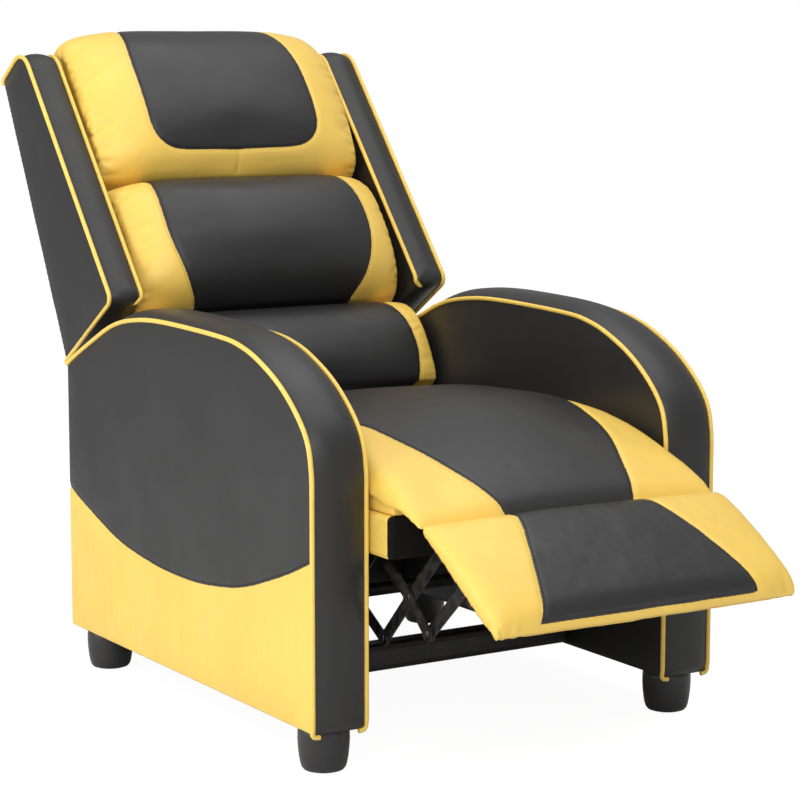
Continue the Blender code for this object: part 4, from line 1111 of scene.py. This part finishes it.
class RECLINER_OT_wings(bpy.types.Operator):
    """Side wings of the back part with their piping"""

    bl_idname = "recliner.wings"
    bl_label = "Dress the wings"

    def execute(self, context):
        sizes = context.scene.recliner_sizes
        corners = [(*on_back(0, along, across)[1:], radius) for along, across, radius in WING_CORNERS]
        (_, (high, high_front, _), (low, low_front, _), _) = WING_CORNERS
        edge = resample([tuple(place) for place in rounded(corners)], 6 * MM)
        outline = [*edge, edge[0]]
        for name, side in SIDES:
            inner, outer = side * WING_INNER_X, side * WING_OUTER_X
            wing = slab(f"{name}_wing_cover", edge, [], inner, outer, WING_CROWN)
            shape = surface(wing)
            even_quads(wing, sizes.voxel * 0.75)
            snap(wing, shape)
            free = puff(wing, outline, outer, side * WING_OUTER_PUFF, WING_PUFF_REACH)
            free += puff(wing, outline, inner, -side * WING_INNER_PUFF, WING_PUFF_REACH)
            along, across = to_back(coordinates(wing.data))
            front = np.interp(along, [low, high], [low_front, high_front])
            boxing = near(across - front + WING_CROWN, 8 * MM) * (free == 0)
            near_low = np.exp(-np.abs(along - low - 10 * MM) / (14 * MM))
            ripple(wing, 0.6 * MM * ramp(free, 30 * MM), scale=7.0, stretch=(1, 1, 1), seed=7.7 + side)
            ripple(wing, 3.0 * MM * near_low * boxing, scale=40.0, stretch=(1.4, 0.6, 0.6), seed=2.9 + side)
            dress(wing, "black_leather", "back", "black_cloth", f"{name}_wing")
            path = offset(edge, -WING_BEAD_OUT)
            along, across = to_back(np.array([(0, y, z) for y, z in path]))
            corner = int(np.argmin(np.hypot(along - low, across - low_front)))
            curl = [on_back(inner + side * 8 * MM, low - 2 * MM, low_front + 10 * MM),
                    on_back(inner + side * 18 * MM, low + 1 * MM, low_front + 14 * MM)]
            beads = [[(outer + side * WING_BEAD_OUT, y, z) for y, z in path],
                     [*[(inner - side * BEAD_OUT, y, z) for y, z in path[:corner + 1]], *curl]]
            pipe(f"{name}_wing_piping", beads, "back", f"{name}_wing_outer_piping",
                 f"{name}_wing_inner_piping")
        return {"FINISHED"}


def pillow(name, section, half, end_share, drop):
    """A cushion across the back: one section, thinner at its ends, its top corners let down by a drop."""
    loop = curve_of(section, 3)
    low, high = loop[:, 0].min(), loop[:, 0].max()
    middle = (low + high) / 2
    rings = []
    for turn in np.linspace(-pi / 2, pi / 2, 41):
        share = sin(turn)
        full = (1 - share ** 4) ** 0.5
        deep = end_share + (1 - end_share) * full
        tall = 0.965 + 0.035 * full
        ring = []
        for along, across in loop:
            x = share * (half - TOP_DRAWN * ramp(along - TOP_FROM, TOP_RISE))
            fall = drop * (1 - full) ** 1.3 * max(0, (along - middle) / (high - middle)) ** 3
            depth = (across - FRAME_FRONT) * (deep if across < FRAME_FRONT else 1)
            ring.append(on_back(x, middle + (along - middle) * tall - fall, FRAME_FRONT + depth))
        rings.append(ring)
    return loft(name, rings)


def on_front(made, places):
    """Places (x, along) of the back part, laid on the front of a piece."""
    ahead = on_back(0, 0, 1) - on_back(0, 0, 0)
    return cast(surface(made), [on_back(x, along, -FAR) for x, along in places], ahead)


def panel_path(made, section, widths, side):
    """One side seam of a panel from its low end over the top, from half widths at places along the back."""
    tree = surface(made)
    turn = max(along for along, _ in section) * MM - 40 * MM
    path = on_front(made, [(side * width, along) for along, width in widths if along < turn])
    for along, across in resample(smooth(section, 3), 3) * MM:
        if along > turn and across < 25 * MM:
            place = on_back(side * np.interp(along, widths[:, 0], widths[:, 1]), along, across)
            for _ in range(3):
                place = tree.find_nearest(place)[0]
                high = to_back(np.array([place]))[0][0]
                place.x = side * np.interp(high, widths[:, 0], widths[:, 1])
            path.append(place)
    return path


def mark_panel(made, paths, inside, others=()):
    """Stores the signed distance to a panel's seams and that to any seam, and presses the seams in."""
    sizes = bpy.context.scene.recliner_sizes
    places = coordinates(made.data)
    distance = np.min([distance_to_path(places, path) for path in paths], axis=0)
    set_attribute(made.data, "panel", np.where(inside, distance, -distance))
    dent(made, distance, sizes.seam_depth, sizes.seam_width)
    for path in others:
        other = distance_to_path(places, path)
        dent(made, other, sizes.seam_depth * 0.7, sizes.seam_width * 0.8)
        distance = np.minimum(distance, other)
    set_attribute(made.data, "seam", distance)


class RECLINER_OT_back_cushions(bpy.types.Operator):
    """Head, lumbar and lower cushions of the back part"""

    bl_idname = "recliner.back_cushions"
    bl_label = "Make the back cushions"

    def execute(self, context):
        self.cushion("head_cushion", HEAD_SECTION, HEAD_PANEL, end_share=0.5, drop=30 * MM,
                     folds=3.4 * MM, slot="yellow_cloth", seed=11)
        self.cushion("lumbar_cushion", LUMBAR_SECTION, LUMBAR_PANEL, end_share=0.52, drop=10 * MM,
                     folds=2.2 * MM, slot="black_cloth", seed=5)
        self.cushion("lower_cushion", LOWER_SECTION, LOWER_PANEL, end_share=0.84, drop=4 * MM,
                     folds=1.4 * MM, slot="black_cloth", seed=2)
        return {"FINISHED"}

    def cushion(self, node, section, shares, end_share, drop, folds, slot, seed):
        """One roll: shaped, swollen as cloth, gathered at its side seams, then seamed and stitched."""
        sizes = bpy.context.scene.recliner_sizes
        widths = smooth(shares, 8)[::-1] * MM
        made = pillow(f"{node}_cover", section, ROLL_HALF, end_share, drop)
        even_quads(made, sizes.voxel * 0.85)
        places = coordinates(made.data)
        along, across = to_back(places)
        held = near(FRAME_FRONT - across, 14 * MM)
        ends = near(ROLL_HALF - np.abs(places[:, 0]), 8 * MM)
        swell(made, np.maximum(held, ends * 0.9), cap=12 * MM)
        self.keep_inside(made, section)
        refine(made)
        ripple(made, 0.5 * MM, scale=12.0, stretch=(0.5, 1, 1), seed=seed)
        for side in (-1, 1):
            edge = on_front(made, [(side * (ROLL_HALF - 4 * MM), along) for along in
                                   np.linspace(section[0][0] * MM, BACK_TOP, 100)])
            gather(made, edge, folds, reach=11 * MM, spacing=15 * MM, seed=seed + side)
        paths = [panel_path(made, section, widths, side) for side in (-1, 1)]
        places = coordinates(made.data)
        along, across = to_back(places)
        inside = np.abs(places[:, 0]) < np.interp(along, widths[:, 0], widths[:, 1])
        others = []
        if node == "head_cushion":
            low, width = widths[0]
            base = on_front(made, [(x, low) for x in np.linspace(-width, width, 25)[1:-1]])
            paths = [[*paths[0][::-1], *base, *paths[1]]]
            inside &= along > low
            others = [on_front(made, [(0, place) for place in np.linspace(low, low - 26 * MM, 12)])]
        inside &= across < 30 * MM
        mark_panel(made, paths, inside, others)
        dress(made, "panelled_leather", "back", slot, node)
        lined = paths if len(paths) == 1 else [paths[0][::-1], paths[1]]
        sew(f"{node}_stitches", made, lined, "back", "black_thread")
        if node != "head_cushion":
            sew(f"{node}_edge_stitches", made, lined, "back", "yellow_thread",
                EDGE_STITCH_INSET)

    def keep_inside(self, made, section):
        """Keeps a swollen cushion off its neighbours along the back, the frame and the wings."""
        places = coordinates(made.data)
        along, across = to_back(places)
        along = np.clip(along, section[0][0] * MM - 1 * MM, max(place[0] for place in section) * MM + 4 * MM)
        across = np.minimum(across, 48 * MM)
        x = np.clip(places[:, 0], -ROLL_HALF - 2 * MM, ROLL_HALF + 2 * MM)
        kept = np.array([on_back(*values) for values in zip(x, along, across)])
        set_coordinates(made.data, kept)


class RECLINER_OT_seat(bpy.types.Operator):
    """Seat cushion, one cover over the seat and the flap before it"""

    bl_idname = "recliner.seat"
    bl_label = "Make the seat"

    # How far the cover is drawn in below its side seam, how far it sags before the seat box, and the height
    # from which rays look for its top
    HEM_STEP = 5 * MM
    SAG = 13 * MM
    OVER = 1000 * MM

    def execute(self, context):
        sizes = context.scene.recliner_sizes
        stations = curve_of(SEAT_STATIONS, 3)
        made = loft("seat_cover", [self.ring(y + ARM_FRONT, top, crown) for y, top, crown, _ in stations])
        even_quads(made, sizes.voxel * 0.9)
        places = coordinates(made.data)
        under = near(places[:, 2] - self.floor(places[:, 1]), 10 * MM)
        front = near(places[:, 1] - SEAM.y, 9 * MM)
        rear = near(CUSHION_REAR - places[:, 1], 10 * MM)
        swell(made, np.maximum.reduce([under, front, rear]), cap=10 * MM, pressure=3.0, calm=30)
        self.keep_inside(made)
        refine(made)
        places = coordinates(made.data)
        rise = ramp(places[:, 2] - self.floor(places[:, 1]), 30 * MM)
        near_fold = np.exp(-np.abs(places[:, 1] - FLAP_HINGE.y) / (40 * MM))
        edge = ramp(np.abs(places[:, 0]) - SEAT_HALF * 0.75, SEAT_HALF * 0.25)
        ripple(made, (0.5 * MM + 0.4 * MM * near_fold * edge) * rise, scale=12.0, stretch=(1, 0.6, 1),
               seed=4.4)
        places = coordinates(made.data)
        back = places[:, 1] - ARM_FRONT
        hem = np.array(SEAT_HEM[::-1]) * MM
        below = np.interp(back, hem[:, 0], hem[:, 1]) - places[:, 2]
        step = self.HEM_STEP * ramp(below, 3 * MM) * (back < 80 * MM)
        outside = ramp(np.abs(places[:, 0]) - SEAT_HALF + 14 * MM, 10 * MM)
        places[:, 0] -= np.sign(places[:, 0]) * step * outside
        set_coordinates(made.data, places)
        widths = stations[::-1][:, [0, 3]]
        tree = surface(made)
        paths = [cast(tree, [at(side * half, y, self.OVER) for y, half in widths
                             if half < SEAT_HALF - 2 * MM], (0, 0, -1)) for side in (-1, 1)]
        inside = np.abs(places[:, 0]) < np.interp(back, widths[:, 0], widths[:, 1])
        hems = [cast(tree, [at(side, y * MM, z * MM) for y, z in SEAT_HEM], (-side, 0, 0))
                for side in (-1, 1)]
        for hem, seed in zip(hems, (21, 22)):
            gather(made, hem, depth=0.7 * MM, reach=7 * MM, spacing=30 * MM, seed=seed)
        mark_panel(made, paths, inside, hems)
        made.data.materials.append(finish_of("panelled_leather"))
        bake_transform(made, "seat", "flap", start=(0, FLAP_HINGE.y + 24 * MM, FLAP_HINGE.z),
                 end=(0, FLAP_HINGE.y - 22 * MM, FLAP_HINGE.z))
        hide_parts("seat_cushion", "flap_pad")
        stitches = sew("seat_stitches", made, [paths[0][::-1], paths[1]], None, "black_thread")
        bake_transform(stitches, "seat", "flap", start=(0, FLAP_HINGE.y + 24 * MM, FLAP_HINGE.z),
                 end=(0, FLAP_HINGE.y - 22 * MM, FLAP_HINGE.z))
        return {"FINISHED"}

    def floor(self, y):
        """What the cover rests on: the seat box, and before it the line from the hinge to the seam."""
        slope = (FLAP_HINGE.z - SEAM.z) / (FLAP_HINGE.y - SEAM.y)
        sag = np.minimum(self.SAG * np.exp((y - FLAP_HINGE.y) / (2 * self.SAG)), self.SAG)
        ahead = FLAP_HINGE.z + (y - FLAP_HINGE.y) * slope - sag
        return np.where(y > SEAT_LOW.y, SEAT_HIGH.z, ahead) + GAP

    def ring(self, y, top, crown):
        """One section across the seat at a distance from the front."""
        floor = float(self.floor(np.array(y)))
        height = max(top - floor, 3 * MM)
        loop = []
        for turn in np.linspace(0, pi, 41):
            share = cos(turn)
            full = (1 - abs(share) ** 22) ** 0.4
            loop.append((COVER_HALF * share, y,
                         floor + height * (0.3 + 0.7 * full) + crown * (1 - share * share)))
        return [*loop, *[(COVER_HALF * share, y, floor) for share in (-1, -0.5, 0.5, 1)]]

    def keep_inside(self, made):
        """Keeps the swollen cover off the arms, the seat box and the footrest."""
        places = coordinates(made.data)
        clear = ramp(ARM_FRONT - 10 * MM - places[:, 1], 60 * MM)
        limit = SEAT_HALF + 0.8 * MM + 5 * MM * clear
        places[:, 0] = np.clip(places[:, 0], -limit, limit)
        places[:, 1] = np.clip(places[:, 1], SEAM.y + 0.5 * MM, CUSHION_REAR + 1 * MM)
        places[:, 2] = np.maximum(places[:, 2], self.floor(places[:, 1]))
        set_coordinates(made.data, places)


class RECLINER_OT_footrest(bpy.types.Operator):
    """Padded cover of the footrest"""

    bl_idname = "recliner.footrest"
    bl_label = "Make the footrest"

    def execute(self, context):
        sizes = context.scene.recliner_sizes
        stations = curve_of(FOOTREST_STATIONS, 4)
        made = loft("footrest_cover", self.rings(stations))
        even_quads(made, sizes.voxel * 0.8)
        refine(made)
        ripple(made, 0.9 * MM, scale=14.0, stretch=(1, 1, 1), seed=9.1)
        places = coordinates(made.data)
        along, above = to_footrest(places)
        tree = surface(made)
        down = on_footrest(0, 0, 0) - on_footrest(0, 0, 1)
        seamed = [(half, reach) for reach, height, half in stations
                  if height >= FOOTREST_FRONT_SEAM or reach < FOOTREST_LENGTH / 2]
        left, right = (cast(tree, [on_footrest(side * half, reach, FAR / 2) for half, reach in seamed], down)
                       for side in (-1, 1))
        front = [on_footrest(x, FOOTREST_LENGTH - 5 * MM, FOOTREST_FRONT_SEAM)
                 for x in np.linspace(-172 * MM, 172 * MM, 40)]
        paths = [[*left, *lay_on(made, front), *right[::-1]]]
        inside = np.abs(places[:, 0]) < np.interp(along, stations[:, 0], stations[:, 2])
        inside &= (above > FOOTREST_FRONT_SEAM) | (along < FOOTREST_LENGTH / 2)
        for side, seed in ((-1, 31), (1, 32)):
            corner = [on_footrest(side * (SEAT_HALF - reach), FOOTREST_LENGTH - 1 * MM, 6 * MM)
                      for reach in np.linspace(0, 38 * MM, 20)]
            gather(made, corner, depth=2.0 * MM, reach=8 * MM, spacing=9 * MM, seed=seed)
        mark_panel(made, paths, inside)
        dress(made, "panelled_leather", "footrest", "black_cloth", "footrest_pad")
        sew("footrest_stitches", made, paths, "footrest", "black_thread")
        reach = np.linspace(8 * MM, FOOTREST_LENGTH - 4 * MM, 30)
        rim = [on_footrest(side * SEAT_HALF, along, 5 * MM) for side in (-1, 1) for along in reach[::-side]]
        sew("footrest_rim_stitches", made, [rim], "footrest", "yellow_thread", 0)
        self.board()
        return {"FINISHED"}

    def rings(self, stations):
        """Sections along the cover, from its left end to its right, hollow underneath for the board."""
        edge = FOOTREST_BOARD_HALF / SEAT_HALF
        steps = [turn + step for turn in (-edge, edge) for step in (-0.001, 0.001)]
        for share in sorted([*np.sin(np.linspace(-pi / 2, pi / 2, 41)), *steps]):
            low = FOOTREST_BOARD + GAP if abs(share) < edge else 0
            full = 0.3 + 0.7 * (1 - abs(share) ** 18) ** 0.4
            crown = 8 * MM * (1 - share ** 2)
            loop = [(along, FOOTREST_BOARD + (height - FOOTREST_BOARD) * full
                     + crown * min(1, height / (30 * MM))) for along, height, _ in stations]
            loop += [(FOOTREST_LENGTH - 1 * MM, 0), (FOOTREST_LENGTH - 11 * MM, 0),
                     (FOOTREST_LENGTH - 11 * MM, low), (90 * MM, low), (4 * MM, low)]
            yield [on_footrest(share * COVER_HALF, along, above) for along, above in loop]

    def board(self):
        """The board under the pad, with the cloth's edge turned under it and stapled."""
        half, first, last = FOOTREST_BOARD_HALF - 1 * MM, 4 * MM, FOOTREST_LENGTH - 12 * MM
        board = self.block("footrest_board_bare", half, first, last, 0.2 * MM, FOOTREST_BOARD)
        dress(board, "softwood", "footrest", "wood", "footrest_board")
        bands = [self.block("footrest_hem_front", half, last - HEM_MARGIN, last, -HEM, 0.1 * MM),
                 self.block("footrest_hem_rear", half, first - HEM, first, -HEM, FOOTREST_BOARD)]
        for name, side in SIDES:
            band = self.block(f"footrest_hem_{name}", HEM_MARGIN / 2, first, last - HEM_MARGIN - 0.5 * MM,
                              -HEM, 0.1 * MM)
            band.data.transform(Matrix.Translation((side * (half - HEM_MARGIN / 2), 0, 0)))
            bands.append(band)
        for band in bands:
            dress(band, "yellow_leather", "footrest", "yellow_cloth")
        down = on_footrest(0, 0, -1) - on_footrest(0, 0, 0)
        inset = HEM_MARGIN * 0.6
        spots = [on_footrest(x, last - inset, -1 * MM) for x in np.linspace(-half, half, 15)[1:-1]]
        spots += [on_footrest(side * (half - inset), along, -1 * MM) for side in (-1, 1)
                  for along in np.linspace(first, last - HEM_MARGIN, 8)[1:-1]]
        staples = grown("footrest_staples", domes, point_mesh(spots, [down] * len(spots)), "rivet_steel",
                        Width=11 * MM, Depth=1.4 * MM, Height=1.2 * MM)
        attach(staples, "footrest")

    def block(self, name, half, first, last, low, high):
        """A flat block in the footrest's own frame."""
        return loft(name, [[on_footrest(x, along, above) for along, above in
                            ((first, low), (last, low), (last, high), (first, high))] for x in (-half, half)])


class RECLINER_OT_feet(bpy.types.Operator):
    """Tapered moulded feet"""

    bl_idname = "recliner.feet"
    bl_label = "Make the feet"

    # From the top to the sole, as shares of the foot's radius and of its height
    PROFILE_SHARES = [(0, 1.0), (0.98, 1.0), (1.01, 0.985), (1.025, 0.88), (1.03, 0.7), (1.01, 0.5),
                      (0.97, 0.3), (0.93, 0.17), (0.875, 0.07), (0.8, 0.02), (0.7, 0.0), (0, 0.0)]

    def execute(self, context):
        for name, _ in SIDES:
            for end in ("front", "rear"):
                node = f"{name}_{end}_foot"
                low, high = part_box(node)
                centre = (low + high) / 2
                radius = (high.x - low.x) / 2
                bm = bmesh.new()
                rows = [bm.verts.new((centre.x + r * radius, centre.y, low.z + h * (high.z - low.z)))
                        for r, h in self.PROFILE_SHARES]
                edges = [bm.edges.new(pair) for pair in zip(rows, rows[1:])]
                bmesh.ops.spin(bm, geom=[*rows, *edges], cent=(centre.x, centre.y, 0), axis=(0, 0, 1),
                               angle=2 * pi, steps=48, use_merge=True)
                foot = from_bmesh(f"{node}_moulded", bm)
                foot.data.set_sharp_from_angle(angle=radians(50))
                dress(foot, "moulded_plastic", "base", "black_plastic", node)
        return {"FINISHED"}


class RECLINER_OT_carcass(bpy.types.Operator):
    """Finishes of the rails, timber, seat box, webbing, steel and the rear cover"""

    bl_idname = "recliner.carcass"
    bl_label = "Finish the carcass"

    FINISHES = {
        "painted_steel": ("base_plate", "front_swing", "torque_tube", "rear_swing", "seat_plate", "link",
                          "footrest_bracket", "back_bracket"),
        "softwood": ("cleat", "footrest_board", "back_frame"),
        "woven_strap": ("webbing",),
        "black_leather": ("rail", "back_cover"),
        "yellow_leather": ("seat_box",),
    }

    def execute(self, context):
        for node, made in frame["nodes"].items():
            for material, endings in self.FINISHES.items():
                if node.endswith(endings):
                    made.data.materials.clear()
                    made.data.materials.append(finish_of(material))
        # The seat box's front gets the near-black lining, partly cloth and partly painted shade under the
        # seat flap
        self.face("seat_box", "lining_dark_as_shade", lambda face: face.normal.y < -0.2)
        self.face("back_frame", "black_leather",
                  lambda face: face.normal.z > 0.3 or face.normal.y > 0.3 or abs(face.normal.x) > 0.7)
        for link, pivots in LINK_RIVETS.items():
            spots, facings = [], []
            for name, side in SIDES:
                low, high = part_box(f"{name}_{link}")
                spots += [at(low.x if side < 0 else high.x, y * MM, z * MM) for y, z in pivots]
                facings += [(side, 0, 0)] * len(pivots)
            heads = grown(f"{link}_rivets", domes, point_mesh(spots, facings), "rivet_steel",
                          Width=11 * MM, Depth=11 * MM, Height=4 * MM)
            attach(heads, link)
        return {"FINISHED"}

    def face(self, node, material, test):
        """Gives some faces of a carried-over piece another finish."""
        mesh = frame["nodes"][node].data
        mesh.materials.append(finish_of(material))
        for face in mesh.polygons:
            if test(face):
                face.material_index = len(mesh.materials) - 1


class RECLINER_OT_studio(bpy.types.Operator):
    """Pale floor, soft lights and the camera"""

    bl_idname = "recliner.studio"
    bl_label = "Set up the studio"

    def execute(self, context):
        studio = context.scene.recliner_studio
        self.floor()
        self.world(studio.world_level)
        self.lamp("key_light", Vector((-1.6, -2.6, 2.2)), 2.2, studio.key_power)
        self.lamp("top_light", Vector((0.2, 0.0, 2.8)), 2.6, studio.top_power)
        self.lamp("side_light", Vector((-2.8, 0.2, 1.1)), 2.0, studio.side_power)
        data = bpy.data.cameras.new("camera")
        data.lens = studio.focal_length
        data.sensor_width = 36
        camera = bpy.data.objects.new("camera", data)
        turn, pitch = studio.camera_turn, studio.camera_pitch
        back = Vector((sin(turn) * cos(pitch), -cos(turn) * cos(pitch), sin(pitch)))
        camera.location = studio.camera_place
        camera.rotation_euler = back.to_track_quat("Z", "Y").to_euler()
        context.scene.collection.objects.link(camera)
        context.scene.camera = camera
        context.scene.view_settings.view_transform = "Standard"
        return {"FINISHED"}

    def floor(self):
        """A wide pale floor that the camera sees nearly white, with the chair's soft shadow."""
        bm = bmesh.new()
        bmesh.ops.create_grid(bm, x_segments=1, y_segments=1, size=30)
        made = from_bmesh("floor", bm)
        made.data.transform(Matrix.Translation((0, 0, CAD_BOX[0][2])))
        material, tree, shader = blank_material("pale_floor")
        coat(tree, shader, (0.8, 0.8, 0.8), 0.9)
        glow = add(tree, "ShaderNodeEmission", Strength=1.18)
        path = add(tree, "ShaderNodeLightPath")
        seen = calculate(tree, "MULTIPLY", path.outputs["Is Camera Ray"], 0.8)
        mix = add(tree, "ShaderNodeMixShader")
        for socket, source in zip(mix.inputs, (seen, shader.outputs[0], glow.outputs[0])):
            feed(tree, socket, source)
        feed(tree, tree.nodes["Material Output"].inputs["Surface"], mix.outputs[0])
        made.data.materials.append(material)

    def world(self, level):
        """An even room light that the camera sees as white."""
        world = bpy.data.worlds.new("studio")
        world.use_nodes = True
        tree = world.node_tree
        background = tree.nodes["Background"]
        path = add(tree, "ShaderNodeLightPath")
        seen = calculate(tree, "MAXIMUM", path.outputs["Is Camera Ray"], path.outputs["Is Transmission Ray"])
        feed(tree, background.inputs["Color"], (1, 1, 1))
        feed(tree, background.inputs["Strength"], calculate(tree, "MULTIPLY_ADD", seen, 1.0 - level, level))
        bpy.context.scene.world = world

    def lamp(self, name, place, size, power):
        """A square soft light aimed at the seat."""
        data = bpy.data.lights.new(name, "AREA")
        data.size = size
        data.energy = power
        lamp = bpy.data.objects.new(name, data)
        lamp.location = place
        lamp.rotation_euler = (place - Vector((0, 0, 0.5))).to_track_quat("Z", "Y").to_euler()
        bpy.context.scene.collection.objects.link(lamp)


class RECLINER_PT_panel(bpy.types.Panel):
    """Sizes, colours and steps of the dressing"""

    bl_idname = "RECLINER_PT_panel"
    bl_label = "Recliner"
    bl_space_type = "VIEW_3D"
    bl_region_type = "UI"
    bl_category = "Recliner"

    def draw(self, context):
        scene = context.scene
        for group in (scene.recliner_sizes, scene.recliner_colours, scene.recliner_studio):
            box = self.layout.box()
            for name in group.bl_rna.properties.keys():
                if name not in ("rna_type", "name"):
                    box.prop(group, name)
        for operator in STEPS:
            self.layout.operator(operator.bl_idname)


STEPS = (RECLINER_OT_studio, RECLINER_OT_carcass, RECLINER_OT_feet, RECLINER_OT_arms, RECLINER_OT_wings,
         RECLINER_OT_back_cushions, RECLINER_OT_seat, RECLINER_OT_footrest)
CLASSES = (ReclinerSizes, ReclinerColours, ReclinerStudio, *STEPS, RECLINER_PT_panel)


def register():
    """Registers the classes and hangs their values on the scene."""
    for cls in CLASSES:
        bpy.utils.register_class(cls)
    bpy.types.Scene.recliner_sizes = bpy.props.PointerProperty(type=ReclinerSizes)
    bpy.types.Scene.recliner_colours = bpy.props.PointerProperty(type=ReclinerColours)
    bpy.types.Scene.recliner_studio = bpy.props.PointerProperty(type=ReclinerStudio)


def unregister():
    """Takes the classes and their values away."""
    del bpy.types.Scene.recliner_sizes
    del bpy.types.Scene.recliner_colours
    del bpy.types.Scene.recliner_studio
    for cls in reversed(CLASSES):
        bpy.utils.unregister_class(cls)


def main():
    """Dresses the whole chair."""
    register()
    for operator in STEPS:
        group, name = operator.bl_idname.split(".")
        getattr(getattr(bpy.ops, group), name)()
    bpy.context.view_layer.update()


if __name__ == "__main__":
    main()
